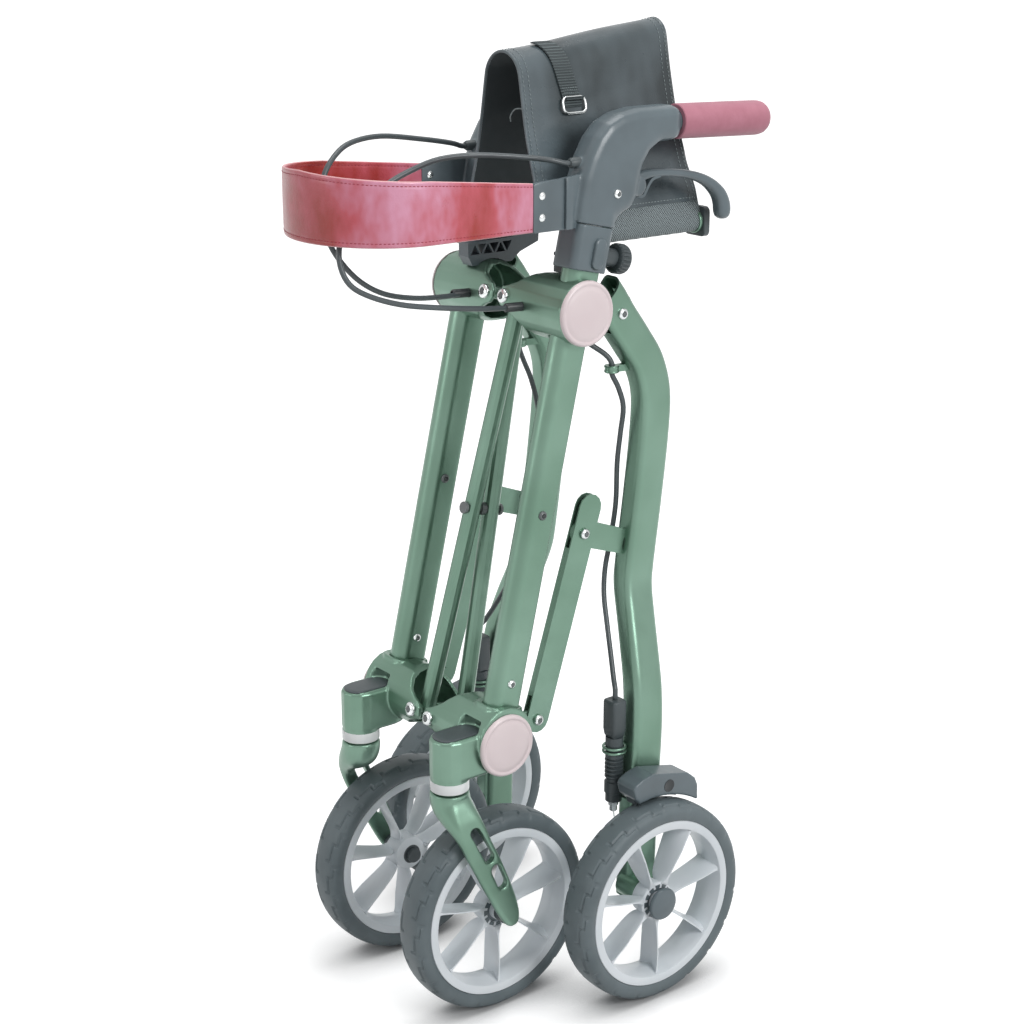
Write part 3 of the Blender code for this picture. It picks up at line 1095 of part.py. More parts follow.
def make_pairs():
    settle_pair(front_leg(), "front_leg", "frame", "green_metal")
    settle_pair(hub_cap(LOWER_HUB_E), "lower_cap", "frame", "cap_plastic")
    settle_pair(height_collar(), "collar", "frame", "grey_plastic")
    settle_pair(hub_cap(PIN_RISE), "upper_cap", "slider", "cap_plastic")
    settle_pair(seat_bracket(), "seat_bracket", "slider", "grey_plastic")
    settle_pair(seat_rail(), "seat_rail", "slider", "green_metal")
    settle_pair(rear_leg(), "rear_leg", "rear_leg", "green_metal")
    settle_pair(brake_cover(), "brake_cover", "rear_leg", "grey_plastic")
    settle_pair(cable_adjuster(), "cable_adjuster", "rear_leg", "dark_plastic")
    settle_pair(link(), "link", "link", "green_metal")
    settle_pair(tyre(REAR_WHEEL), "rear_tyre", "rear_wheel", "tyre_rubber")
    settle_pair(rim(REAR_WHEEL), "rear_rim", "rear_wheel", "rim_plastic")
    settle_pair(brake_shoe(), "brake_shoe", "brake_shoe", "dark_plastic")
    settle_pair(fork(), "fork", "caster", "green_metal")
    settle_pair(tyre(FRONT_WHEEL), "front_tyre", "front_wheel", "tyre_rubber")
    settle_pair(rim(FRONT_WHEEL), "front_rim", "front_wheel", "rim_plastic")
    settle_pair(handle_casting(), "handle_casting", "handle", "grey_plastic")
    settle_pair(handle_post(), "handle_post", "handle", "steel")
    settle_pair(grip(), "grip", "handle", "grip_rubber")
    settle_pair(knob(), "knob", "knob", "dark_plastic")
    settle_pair(brake_lever(), "brake_lever", "lever", "grey_plastic")


def make_hubs():
    """The two sides' castings are alike, but each lower or upper pin holds its own brace tube."""
    low, high = lower_hub(), upper_hub()
    for side, sign, low_n, high_n in (("right_", -1, FRONT_BRACE_N, REAR_BRACE_N),
                                      ("left_", 1, REAR_BRACE_N, FRONT_BRACE_N)):
        lower = mirrored(low) if sign < 0 else low
        upper = mirrored(high) if sign < 0 else high
        joined(lower, brace_end_pin(sign * PIN_X, 0, low_n))
        joined(upper, brace_end_pin(sign * PIN_X, PIN_RISE, high_n))
        settle(lower, side + "lower_hub", side + "frame", "green_metal")
        settle(upper, side + "upper_hub", side + "slider", "green_metal")


def make_cables():
    routes = {"left_": UPPER_CABLE, "right_": RIGHT_UPPER_CABLE}
    for side, sign in (("left_", 1), ("right_", -1)):
        settle(cable(routes[side], sign), side + "upper_cable", side + "cable", "cable_sheath")
        settle(cable(LOWER_CABLE, sign), side + "lower_cable", side + "rear_leg", "cable_sheath")


def make_middle():
    settle(brace_tube(PIN_X, REAR_BRACE_N), "brace_rear", "brace_rear", "green_metal")
    settle(brace_tube(-PIN_X, FRONT_BRACE_N), "brace_front", "brace_front", "green_metal")
    settle(brace_pivot(), "brace_pivot", "brace_front", "steel")
    left = seat_panel()
    right = mirrored(left)
    settle(left, "seat_left", "left_seat", "seat_leather")
    settle(right, "seat_right", "right_seat", "seat_leather")
    settle(pull_strap(), "pull_strap", "left_seat", "webbing")
    for build, part in ((strap_straight, "rear"), (strap_arc, "front")):
        left = build()
        right = mirrored(left)
        settle(left, "strap_left_" + part, "strap_left_" + part, "strap_leather")
        settle(right, "strap_right_" + part, "strap_right_" + part, "strap_leather")


clear_scene()
make_bodies()
make_pairs()
make_hubs()
make_cables()
make_middle()
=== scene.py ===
"""Looks of the folding rollator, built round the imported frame. Metres, +Z up, the user's left is +X."""
import math

import bmesh
import bpy
from mathutils import Matrix, Vector
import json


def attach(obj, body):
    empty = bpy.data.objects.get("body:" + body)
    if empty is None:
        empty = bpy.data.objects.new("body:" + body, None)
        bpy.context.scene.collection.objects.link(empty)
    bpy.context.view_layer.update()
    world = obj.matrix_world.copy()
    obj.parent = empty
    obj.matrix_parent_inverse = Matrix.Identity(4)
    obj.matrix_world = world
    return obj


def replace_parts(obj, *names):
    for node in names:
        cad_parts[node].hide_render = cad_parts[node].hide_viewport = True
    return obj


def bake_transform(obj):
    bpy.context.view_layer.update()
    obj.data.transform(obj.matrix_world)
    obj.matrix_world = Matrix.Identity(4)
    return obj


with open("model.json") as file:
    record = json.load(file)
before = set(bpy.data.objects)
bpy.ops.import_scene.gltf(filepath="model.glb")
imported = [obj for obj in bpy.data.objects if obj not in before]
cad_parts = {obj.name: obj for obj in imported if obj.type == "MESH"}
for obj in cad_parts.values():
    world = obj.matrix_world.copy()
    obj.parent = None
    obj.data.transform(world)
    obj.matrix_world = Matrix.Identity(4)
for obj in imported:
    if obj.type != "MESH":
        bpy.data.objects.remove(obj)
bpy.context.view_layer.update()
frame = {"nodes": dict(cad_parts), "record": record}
BODY_OF = {node: body for body, nodes in frame["record"]["behaviour"]["bodies"].items() for node in nodes}

# Places on the frame. Y is measured from the lower brace pins, X is for the left side.

BACK = 0.11395              # the lower brace pins lie this far in front of the origin
LEAN = math.radians(12.9)   # of the front legs
PIN_X = 0.01425
PIN_Z = 0.2813
PIN_RISE = 0.4043           # from the lower brace pins to the upper ones, along the leg
LEG_X = 0.0760
LEG_N = 0.0286              # the leg's middle behind the plane of the brace pins
REAR_AXLE = (0.160, 0.100)  # y, z
REAR_WHEEL_X = 0.155
FRONT_AXLE = (0.029, 0.100)
CASTER = (0.074, -0.0205)   # x, y of the swivel's axis
HINGE = (0.169, 0.661)      # y, z of the rear leg's hinge on the upper hub
LINK_X = 0.075
LINK_FOOT = (0.0792, 0.2813)
LINK_TOP = (0.1337, 0.4551)
ADJUSTER = (0.108, 0.150)   # x, y of the cable adjuster's axis
CLIP = (0.070, 0.172, 0.606)     # the lower cable's clip on the rear leg
CABLE_PORT = (0.0775, 0.1160, 0.8010)

SIDES = (("left_", 1), ("right_", -1))
LEG = Matrix.Translation((0, -BACK, PIN_Z)) @ Matrix.Rotation(-LEAN, 4, "X")
ALONG_X = Matrix.Rotation(math.pi / 2, 4, "Y")
ALONG_Y = Matrix.Rotation(-math.pi / 2, 4, "X")
FORWARD = Matrix.Rotation(math.pi / 2, 4, "X")


def at(x, y, z):
    """A place given from the lower brace pins."""
    return Vector((x, y - BACK, z))


def facing(sign):
    """Turns the Z axis out to a side."""
    return ALONG_X @ Matrix.Scale(sign, 4, (0, 0, 1))


def outward(sign, x, y, z):
    return Matrix.Translation(at(x, y, z)) @ facing(sign)


# Materials

def linear(r, g, b):
    """A colour as it shows on screen, 0 to 255, as the shader takes it."""
    values = []
    for v in (r, g, b):
        v = v / 255
        values.append(v / 12.92 if v <= 0.04045 else ((v + 0.055) / 1.055) ** 2.4)
    return (*values, 1.0)


class Nodes:
    """A material's shader nodes, with the few kinds that the looks here use."""

    def __init__(self, name, roughness=0.5, metallic=0.0, specular=0.5):
        self.material = bpy.data.materials.new(name)
        self.material.use_nodes = True
        self.tree = self.material.node_tree
        self.shader = self.tree.nodes["Principled BSDF"]
        self.tune({"Roughness": roughness, "Metallic": metallic, "Specular IOR Level": specular})
        self.place = self.tree.nodes.new("ShaderNodeTexCoord").outputs["Object"]
        self.height = None

    def tune(self, values):
        for key, value in values.items():
            self.shader.inputs[key].default_value = value

    def node(self, kind, **values):
        node = self.tree.nodes.new(kind)
        for key, value in values.items():
            node.inputs[key].default_value = value
        return node

    def link(self, start, end):
        self.tree.links.new(start, end)

    def stretched(self, stretch):
        if stretch is None:
            return self.place
        node = self.node("ShaderNodeMapping", Scale=stretch)
        self.link(self.place, node.inputs["Vector"])
        return node.outputs["Vector"]

    def noise(self, scale, detail=3.0, stretch=None, rough=0.55):
        node = self.node("ShaderNodeTexNoise", Scale=scale, Detail=detail, Roughness=rough)
        self.link(self.stretched(stretch), node.inputs["Vector"])
        return node.outputs["Fac"]

    def cells(self, scale):
        node = self.node("ShaderNodeTexVoronoi", Scale=scale)
        self.link(self.place, node.inputs["Vector"])
        return node.outputs["Distance"]

    def shaded(self, value, low, high, start=0.3, end=0.7, middle=None):
        """The base colour runs over a value, between two colours and through a third at its own stop."""
        node = self.tree.nodes.new("ShaderNodeValToRGB")
        stops = node.color_ramp.elements
        stops[0].position, stops[0].color = start, linear(*low)
        stops[1].position, stops[1].color = end, linear(*high)
        if middle:
            stops.new(middle[0]).color = linear(*middle[1])
        self.link(value, node.inputs["Fac"])
        self.link(node.outputs["Color"], self.shader.inputs["Base Color"])

    def roughen(self, value, low, high):
        limits = {"From Min": 0.3, "From Max": 0.7, "To Min": low, "To Max": high}
        node = self.node("ShaderNodeMapRange", **limits)
        self.link(value, node.inputs["Value"])
        self.link(node.outputs["Result"], self.shader.inputs["Roughness"])

    def bump(self, value, distance, strength=1.0):
        node = self.node("ShaderNodeBump", Strength=strength, Distance=distance)
        self.link(value, node.inputs["Height"])
        if self.height is not None:
            self.link(self.height, node.inputs["Normal"])
        self.height = node.outputs["Normal"]
        self.link(self.height, self.shader.inputs["Normal"])

    def math(self, operation, a, b=None):
        node = self.tree.nodes.new("ShaderNodeMath")
        node.operation = operation
        for i, value in enumerate((a, b)):
            if isinstance(value, (int, float)):
                node.inputs[i].default_value = value
            elif value is not None:
                self.link(value, node.inputs[i])
        return node.outputs["Value"]

    def axis(self, name):
        node = self.tree.nodes.new("ShaderNodeSeparateXYZ")
        self.link(self.place, node.inputs["Vector"])
        return node.outputs[name]


def painted_green():
    """Satin metallic paint: fine flake, faint orange peel, slow changes of shade."""
    look = Nodes("green_paint", 0.34, 0.72)
    look.shaded(look.noise(9.0, 2.0), (100, 131, 113), (122, 152, 136))
    look.roughen(look.noise(60.0, 3.0), 0.30, 0.42)
    look.bump(look.noise(1900.0, 1.0), 0.00002, 0.35)
    look.bump(look.noise(260.0, 2.0), 0.00006, 0.25)
    look.tune({"Coat Weight": 0.15, "Coat Roughness": 0.30})
    return look.material


def moulded(name, colour, shade, roughness=0.48, grain=0.00005):
    """Moulded plastic with a fine spark-eroded grain."""
    look = Nodes(name, roughness)
    look.shaded(look.noise(14.0, 3.0), colour, shade)
    look.roughen(look.noise(90.0, 2.0), roughness - 0.03, roughness + 0.03)
    look.bump(look.noise(1500.0, 2.0), grain, 0.6)
    return look.material


def brushed():
    look = Nodes("steel", 0.26, 1.0)
    look.shaded(look.noise(60.0, 2.0), (196, 200, 200), (226, 229, 229))
    look.bump(look.noise(900.0, 2.0, (1.0, 1.0, 0.08)), 0.00002, 0.4)
    return look.material


def tyre_rubber():
    look = Nodes("tyre_rubber", 0.50)
    look.shaded(look.noise(20.0, 3.0), (82, 93, 97), (100, 111, 115))
    look.roughen(look.noise(25.0, 3.0), 0.42, 0.60)
    look.bump(look.noise(1100.0, 3.0), 0.00009, 0.6)
    return look.material


def grip_foam():
    look = Nodes("grip_foam", 0.58)
    look.shaded(look.noise(48.0, 4.0), (168, 104, 120), (184, 121, 137))
    look.bump(look.cells(900.0), 0.00012, 0.5)
    look.bump(look.noise(420.0, 3.0), 0.00010, 0.4)
    look.tune({"Sheen Weight": 0.15})
    return look.material


def strap_leather():
    """Rose-red leather: deep red through rose to dusty pink in random clouds, the pink a painted sheen, with
    pebble grain and gloss.
    """
    look = Nodes("strap_leather", 0.36)
    # Painted sheen: clouds of dusty pink over the rose-red.
    look.shaded(look.noise(7.0, 5.0, (1.0, 1.0, 0.55), 0.62), (158, 36, 28), (218, 150, 176), 0.42, 0.60,
                (0.50, (190, 78, 90)))
    look.roughen(look.noise(30.0, 4.0), 0.26, 0.44)
    look.bump(look.cells(560.0), 0.00018, 0.6)
    look.bump(look.noise(70.0, 3.0), 0.00022, 0.35)
    look.tune({"Coat Weight": 0.3, "Coat Roughness": 0.24, "Sheen Weight": 0.25, "Sheen Roughness": 0.45,
               "Sheen Tint": (1.0, 0.86, 0.95, 1.0)})
    return look.material


def seat_leather():
    """Dark grey-green leather with soft wrinkles, a fine grain and a polished face, its colour in large
    random clouds of painted highlight and painted shade.
    """
    look = Nodes("seat_leather", 0.30, 0.0, 0.4)
    # Painted highlights and shade: the colour runs in large clouds from near black to pale grey.
    look.shaded(look.noise(5.0, 4.0, (1.0, 1.2, 0.60), 0.50), (40, 49, 52), (128, 142, 149), 0.38, 0.68)
    look.roughen(look.noise(18.0, 5.0), 0.20, 0.42)
    look.bump(look.noise(16.0, 5.0, (1.0, 0.5, 1.0), 0.55), 0.0045, 0.45)
    look.bump(look.noise(90.0, 4.0), 0.0006, 0.35)
    look.tune({"Coat Weight": 0.2, "Coat Roughness": 0.2})
    look.bump(look.cells(700.0), 0.00014, 0.5)
    return look.material


def mesh_band():
    """A woven net: light threads crossing over dark gaps."""
    look = Nodes("mesh_band", 0.62)
    y, z = look.axis("Y"), look.axis("Z")
    lines = []
    for value in (look.math("ADD", y, z), look.math("SUBTRACT", y, z)):
        wave = look.math("SINE", look.math("MULTIPLY", value, 1330.0))
        lines.append(look.math("ABSOLUTE", wave))
    weave = look.math("MAXIMUM", *lines)
    look.shaded(weave, (26, 33, 35), (150, 162, 165), 0.74, 0.99)
    look.bump(weave, 0.0007, 0.9)
    return look.material


def webbing():
    """Ribs across the strap, 2.4 mm apart, over fine threads along it."""
    look = Nodes("webbing", 0.72)
    ribs = look.math("SINE", look.math("MULTIPLY", look.axis("Z"), 2 * math.pi / 0.0024))
    fine = look.math("SINE", look.math("MULTIPLY", look.axis("Y"), 2 * math.pi / 0.0011))
    both = look.math("ADD", ribs, look.math("MULTIPLY", fine, 0.35))
    look.shaded(both, (52, 60, 62), (98, 108, 110), 0.0, 1.0)
    look.bump(both, 0.00035, 0.7)
    return look.material


def thread(name, colour):
    look = Nodes(name, 0.60)
    look.shaded(look.noise(900.0, 2.0), [0.82 * c for c in colour], colour)
    look.bump(look.noise(2500.0, 2.0), 0.00004, 0.6)
    return look.material


GREEN = painted_green()
CAP = moulded("cap_plastic", (222, 207, 209), (230, 217, 218), 0.32, 0.00002)
GREY = moulded("grey_plastic", (84, 95, 100), (102, 115, 121), 0.32)
DARK = moulded("dark_plastic", (58, 66, 69), (74, 83, 86), 0.46)
BLACK = moulded("black_plastic", (34, 38, 40), (46, 51, 53), 0.42)
RIM = moulded("rim_plastic", (216, 223, 228), (228, 233, 237), 0.34, 0.00002)
BAND = moulded("reflective_band", (226, 229, 230), (238, 240, 240), 0.30, 0.00001)
STEEL = brushed()
SOCKET = moulded("socket_steel", (92, 97, 98), (120, 125, 126), 0.35)
RUBBER = tyre_rubber()
FOAM = grip_foam()
ROSE = strap_leather()
ROSE_EDGE = moulded("strap_edge", (226, 168, 172), (234, 184, 186), 0.5, 0.00003)
SEAT = seat_leather()
NET = mesh_band()
WEBBING = webbing()
SHEATH = moulded("cable_sheath", (62, 69, 72), (78, 86, 89), 0.36, 0.00001)
ROSE_THREAD = thread("rose_thread", (176, 62, 78))
SEAT_THREAD = thread("seat_thread", (142, 154, 156))
LINING = moulded("seat_lining", (44, 52, 55), (58, 67, 70), 0.7)

LOOKS = {
    "green_metal": GREEN, "cap_plastic": CAP, "grey_plastic": GREY, "dark_plastic": DARK, "steel": STEEL,
    "rim_plastic": RIM, "tyre_rubber": RUBBER, "grip_rubber": FOAM, "strap_leather": ROSE,
    "seat_leather": SEAT, "webbing": WEBBING, "cable_sheath": SHEATH}
for entry in frame["record"]["subparts"]:
    for material_slot in frame["nodes"][entry["node"]].material_slots:
        material_slot.material = SOCKET if entry["node"] == "brace_pivot" else LOOKS[entry["material_slot"]]


# Mesh helpers

def finished(mesh_data, name, material, body, angle=35):
    """Turns mesh data into a piece on a body."""
    bmesh.ops.remove_doubles(mesh_data, verts=mesh_data.verts, dist=1e-7)
    bmesh.ops.recalc_face_normals(mesh_data, faces=mesh_data.faces)
    mesh = bpy.data.meshes.new(name)
    mesh_data.to_mesh(mesh)
    mesh_data.free()
    piece = bpy.data.objects.new(name, mesh)
    bpy.context.collection.objects.link(piece)
    for item in material if isinstance(material, list) else [material]:
        piece.data.materials.append(item)
    piece.data.shade_smooth()
    if angle:
        piece.data.set_sharp_from_angle(angle=math.radians(angle))
    if body:
        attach(piece, body)
    return piece


def add_skin(mesh_data, loops, closed=False, material=0):
    """A skin over equal loops of places, capped at its ends unless it closes on itself."""
    rings = [[mesh_data.verts.new(place) for place in loop] for loop in loops]
    pairs = list(zip(rings, rings[1:]))
    if closed:
        pairs.append((rings[-1], rings[0]))
    for low, high in pairs:
        for i in range(len(low)):
            j = (i + 1) % len(low)
            mesh_data.faces.new((low[i], low[j], high[j], high[i])).material_index = material
    if not closed:
        mesh_data.faces.new(rings[0]).material_index = material
        mesh_data.faces.new(rings[-1]).material_index = material


def skinned(name, loops, material, body, angle=35):
    """A piece with one skin."""
    mesh_data = bmesh.new()
    add_skin(mesh_data, loops)
    return finished(mesh_data, name, material, body, angle)


def solid_mesh(*skins):
    """A mesh of closed skins, to cut or to cut with."""
    mesh_data = bmesh.new()
    for loops in skins:
        add_skin(mesh_data, loops)
    bmesh.ops.recalc_face_normals(mesh_data, faces=mesh_data.faces)
    mesh = bpy.data.meshes.new("solid")
    mesh_data.to_mesh(mesh)
    mesh_data.free()
    return mesh


def prism(places, *push):
    """The two loops of a straight prism: places, and the same pushed along."""
    return [places, [p + Vector(push) for p in places]]


def circle(y, z, radius, start, step, count):
    """Places (y, z) on a circle, by degrees."""
    return [(y + radius * math.cos(a), z + radius * math.sin(a))
            for a in [math.radians(start + step * i) for i in range(count)]]


def swept(spine, section):
    """The loops of a section carried along a spine: section(place, way, index) gives each."""
    last = len(spine) - 1
    ways = [spine[min(i + 1, last)] - spine[max(i - 1, 0)] for i in range(last + 1)]
    return [section(place, way, i) for i, (place, way) in enumerate(zip(spine, ways))]


def add_lathe(mesh_data, profile, place, sides=48, material=0, shape=None):
    """A profile (radius, height) turned round a place's Z axis; shape(turn, index) can change a radius."""
    rings = []
    for k in range(sides):
        angle = 2 * math.pi * k / sides
        ring = []
        for i, (radius, height) in enumerate(profile):
            r = max(radius + (shape(angle, i) if shape else 0.0), 1e-5)
            point = Vector((r * math.cos(angle), r * math.sin(angle), height))
            ring.append(mesh_data.verts.new(place @ point))
        rings.append(ring)
    count = len(profile)
    for k in range(sides):
        a, b = rings[k], rings[(k + 1) % sides]
        for i in range(count):
            j = (i + 1) % count
            mesh_data.faces.new((a[i], a[j], b[j], b[i])).material_index = material


def lathe(name, profile, place, material, body, sides=48, shape=None, angle=35):
    mesh_data = bmesh.new()
    add_lathe(mesh_data, profile, place, sides, 0, shape)
    return finished(mesh_data, name, material, body, angle)


def round_profile(width, depth, corner, steps=4):
    points = []
    for sx, sy, start in ((1, 1, 0), (-1, 1, 90), (-1, -1, 180), (1, -1, 270)):
        for i in range(steps + 1):
            angle = math.radians(start + 90 * i / steps)
            points.append((sx * (width / 2 - corner) + corner * math.cos(angle),
                           sy * (depth / 2 - corner) + corner * math.sin(angle)))
    return points


def smooth_route(points, steps=6):
    points = [Vector(p) for p in points]
    ends = [2 * points[0] - points[1]] + points + [2 * points[-1] - points[-2]]
    route = [points[0]]
    for i in range(len(points) - 1):
        p0, p1, p2, p3 = ends[i:i + 4]
        for k in range(1, steps + 1):
            t = k / steps
            route.append(0.5 * (2 * p1 + (p2 - p0) * t + (2 * p0 - 5 * p1 + 4 * p2 - p3) * t * t
                                + (3 * p1 - p0 - 3 * p2 + p3) * t ** 3))
    return route


def add_tube(mesh_data, route, radius, sides=10, closed=False):
    loops = []
    count = len(route)
    side = None
    for i, place in enumerate(route):
        ahead = route[(i + 1) % count] if closed else route[min(i + 1, count - 1)]
        behind = route[i - 1] if closed else route[max(i - 1, 0)]
        way = (ahead - behind).normalized()
        if side is None:
            side = way.orthogonal().normalized()
        side = (side - way * side.dot(way)).normalized()
        up = way.cross(side)
        loops.append([place + (side * math.cos(a) + up * math.sin(a)) * radius
                      for a in [2 * math.pi * k / sides for k in range(sides)]])
    add_skin(mesh_data, loops, closed)


def tube(name, route, radius, sides, material, body, angle=35, closed=False):
    mesh_data = bmesh.new()
    add_tube(mesh_data, route, radius, sides, closed)
    return finished(mesh_data, name, material, body, angle)


def add_stitches(mesh_data, route, normals, pitch, length, width, lift):
    """Short rounded threads laid along a route, each sunk a little into the surface."""
    run, target = 0.0, pitch / 2
    for i in range(len(route) - 1):
        step = (route[i + 1] - route[i]).length
        while step > 0 and run + step >= target:
            t = (target - run) / step
            centre = route[i].lerp(route[i + 1], t)
            normal = normals[i].lerp(normals[i + 1], t).normalized()
            way = (route[i + 1] - route[i]).normalized()
            side = way.cross(normal).normalized()
            loops = []
            for u, s in ((-0.5, 0.25), (-0.3, 0.9), (0.0, 1.0), (0.3, 0.9), (0.5, 0.25)):
                middle = centre + way * (u * length) + normal * (lift * s - lift * 0.3)
                loops.append([middle + (side * math.cos(a) + normal * math.sin(a) * 0.6) * (width / 2 * s)
                              for a in [math.pi * k / 3 for k in range(6)]])
            add_skin(mesh_data, loops)
            target += pitch
        run += step


def baked(source, name, material, body, modifiers):
    """A new piece from a mesh with modifiers applied: each is (kind, its settings)."""
    shape = bpy.data.objects.new(name + "_shape", source)
    bpy.context.collection.objects.link(shape)
    for kind, settings in modifiers:
        modifier = shape.modifiers.new(kind, kind)
        for key, value in settings.items():
            setattr(modifier, key, value)
    graph = bpy.context.evaluated_depsgraph_get()
    mesh_data = bmesh.new()
    mesh_data.from_mesh(bpy.data.meshes.new_from_object(shape.evaluated_get(graph)))
    bpy.data.objects.remove(shape, do_unlink=True)
    for face in mesh_data.faces:
        face.material_index = 0
    return finished(mesh_data, name, material, body, 50)


def softening(voxel, rounds, keep):
    """Modifiers that round off edges and facets, as a mould does."""
    return [("REMESH", {"mode": "VOXEL", "voxel_size": voxel}),
            ("SMOOTH", {"factor": 0.5, "iterations": rounds}), ("DECIMATE", {"ratio": keep})]


def stand_in(node, source, material, modifiers):
    """A mesh, changed by modifiers, in the place of a CAD node."""
    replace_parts(baked(source, node + "_look", material, BODY_OF[node], modifiers), node)


def node_mesh(node):
    return frame["nodes"][node].data.copy()


def cut_by(mesh, cutter):
    """The mesh less another one."""
    shape, tool = bpy.data.objects.new("shape", mesh), bpy.data.objects.new("tool", cutter)
    for item in (shape, tool):
        bpy.context.collection.objects.link(item)
    modifier = shape.modifiers.new("cut", "BOOLEAN")
    modifier.operation, modifier.solver, modifier.object = "DIFFERENCE", "EXACT", tool
    result = bpy.data.meshes.new_from_object(shape.evaluated_get(bpy.context.evaluated_depsgraph_get()))
    for item in (shape, tool):
        bpy.data.objects.remove(item, do_unlink=True)
    return result


# Wheels

WHEELS = []
for side, sign in SIDES:
    WHEELS.append((side + "rear", sign, (sign * REAR_WHEEL_X, *REAR_AXLE), side + "rear_wheel"))
    WHEELS.append((side + "front", sign, (sign * CASTER[0], *FRONT_AXLE), side + "front_wheel"))
SPOKES = 7
SPOKE_TURN = 0.047          # of the first spoke, in radians
POCKETS = 12
TREAD_BLOCKS = 18
TREAD_DEPTH = 0.0015
GROOVES = {                 # by row of the profile: where in a block the groove starts and ends
    3: (0.0, 0.085), 4: (0.0, 0.085), 5: (0.0, 0.085), 6: (0.0, 0.44), 7: (0.36, 0.44), 8: (0.36, 0.44),
    9: (0.36, 0.92), 10: (0.84, 0.92), 11: (0.84, 0.92)}


def tyre(name, centre, body):
    """A tyre with stepped tread blocks along both shoulders."""
    half = [(0.0842, 0.0160), (0.0862, 0.0172), (0.0900, 0.0179), (0.0930, 0.0177), (0.0948, 0.0171),
            (0.0962, 0.0162), (0.0974, 0.0150), (0.0982, 0.0136), (0.0988, 0.0120), (0.0992, 0.0103),
            (0.0995, 0.0086), (0.0997, 0.0068), (0.0999, 0.0040)]
    profile = half + [(0.1000, 0.0)] + [(r, -h) for r, h in reversed(half)]
    last = len(profile) - 1

    def tread(angle, i):
        turn = angle / (2 * math.pi) * TREAD_BLOCKS + (0.5 if i > last / 2 else 0.0)
        part = turn - math.floor(turn)
        start, end = GROOVES.get(min(i, last - i), (0.0, 0.0))
        return -TREAD_DEPTH if start <= part < end else 0.0

    return lathe(name + "_tyre_look", profile, outward(1, *centre), RUBBER, body,
                 24 * TREAD_BLOCKS, tread, 24)


def rim(name, centre, sign, body):
    """A rim whose seven vanes stand on edge at the outer side and sweep round towards the inner side."""
    place = outward(sign, *centre)
    mesh_data = bmesh.new()
    edge = [(0.0839, 0.0158), (0.0835, 0.0163), (0.0765, 0.0166), (0.0757, 0.0162), (0.0752, 0.0150),
            (0.0728, 0.0040)]
    add_lathe(mesh_data, edge + [(0.0724, 0.0)] + [(r, -h) for r, h in reversed(edge)], place, 96)
    hub = [(0.0047, 0.0128), (0.0074, 0.0128), (0.0078, 0.0122), (0.0078, 0.0068), (0.0128, 0.0064),
           (0.0132, 0.0086), (0.0178, 0.0086), (0.0188, 0.0078), (0.0192, 0.0066), (0.0168, -0.0095),
           (0.0120, -0.0118), (0.0047, -0.0128)]
    add_lathe(mesh_data, hub, place)
    inner, outer = 0.0180, 0.0746
    for k in range(SPOKES):
        start = 2 * math.pi * k / SPOKES - SPOKE_TURN
        loops = []
        for i in range(25):
            t = i / 24
            radius = inner + (outer - inner) * t
            half = (0.0009 + 0.0048 * math.exp((inner - radius) / 0.0042)
                    + 0.0016 * math.exp((radius - outer) / 0.0025))
            face = 0.0096 + 0.0046 * min(1.0, 1.6 * t)
            back = -0.0118 - 0.0024 * t + 0.0060 * math.exp((inner - radius) / 0.0060)
            sides = ([], [])
            for j in range(9):
                u = j / 8
                angle = start + 0.050 * u + 0.050 * math.sin(math.pi * u) * t
                depth = face + (back - face) * u
                thick = half * (1 - 0.75 * u * math.exp((inner - radius) / 0.0100))
                thick = thick * (0.72 if j in (0, 8) else 1.0)
                for side, way in zip(sides, (1, -1)):
                    turn = angle + way * thick / radius
                    side.append(place @ Vector((radius * math.cos(turn), radius * math.sin(turn), depth)))
            loops.append(sides[0] + sides[1][::-1])
        add_skin(mesh_data, loops)
    return finished(mesh_data, name + "_rim_look", RIM, body, 40)


def hub_ring(name, centre, sign, body):
    """The grey pockets round the hub's face and the bush in its middle."""
    place = outward(sign, *centre)
    mesh_data = bmesh.new()
    for k in range(POCKETS):
        pocket = place @ Matrix.Rotation(2 * math.pi * k / POCKETS, 4, "Z")
        corners = ((0.0132, -0.0022), (0.0168, -0.0030), (0.0168, 0.0030), (0.0132, 0.0022))
        add_skin(mesh_data, [[pocket @ Vector((r, w, h)) for r, w in corners] for h in (0.0080, 0.00885)])
    add_lathe(mesh_data, [(0.0094, 0.0065), (0.0126, 0.0063), (0.0126, 0.0070), (0.0094, 0.0072)], place, 36)
    finished(mesh_data, name + "_hub_ring", GREY, body, 30)
    profile = [(0.0048, 0.0065), (0.0096, 0.0065), (0.0096, 0.0126), (0.0090, 0.0131), (0.0048, 0.0131)]
    lathe(name + "_bush", profile, place, RIM, body, 36)
    lathe(name + "_bush_back", profile, place @ Matrix.Scale(-1, 4, (0, 0, 1)), DARK, body, 36)


for name, sign, centre, body in WHEELS:
    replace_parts(tyre(name, centre, body), name + "_tyre")
    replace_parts(rim(name, centre, sign, body), name + "_rim")
    hub_ring(name, centre, sign, body)


# Axle caps and caster housings

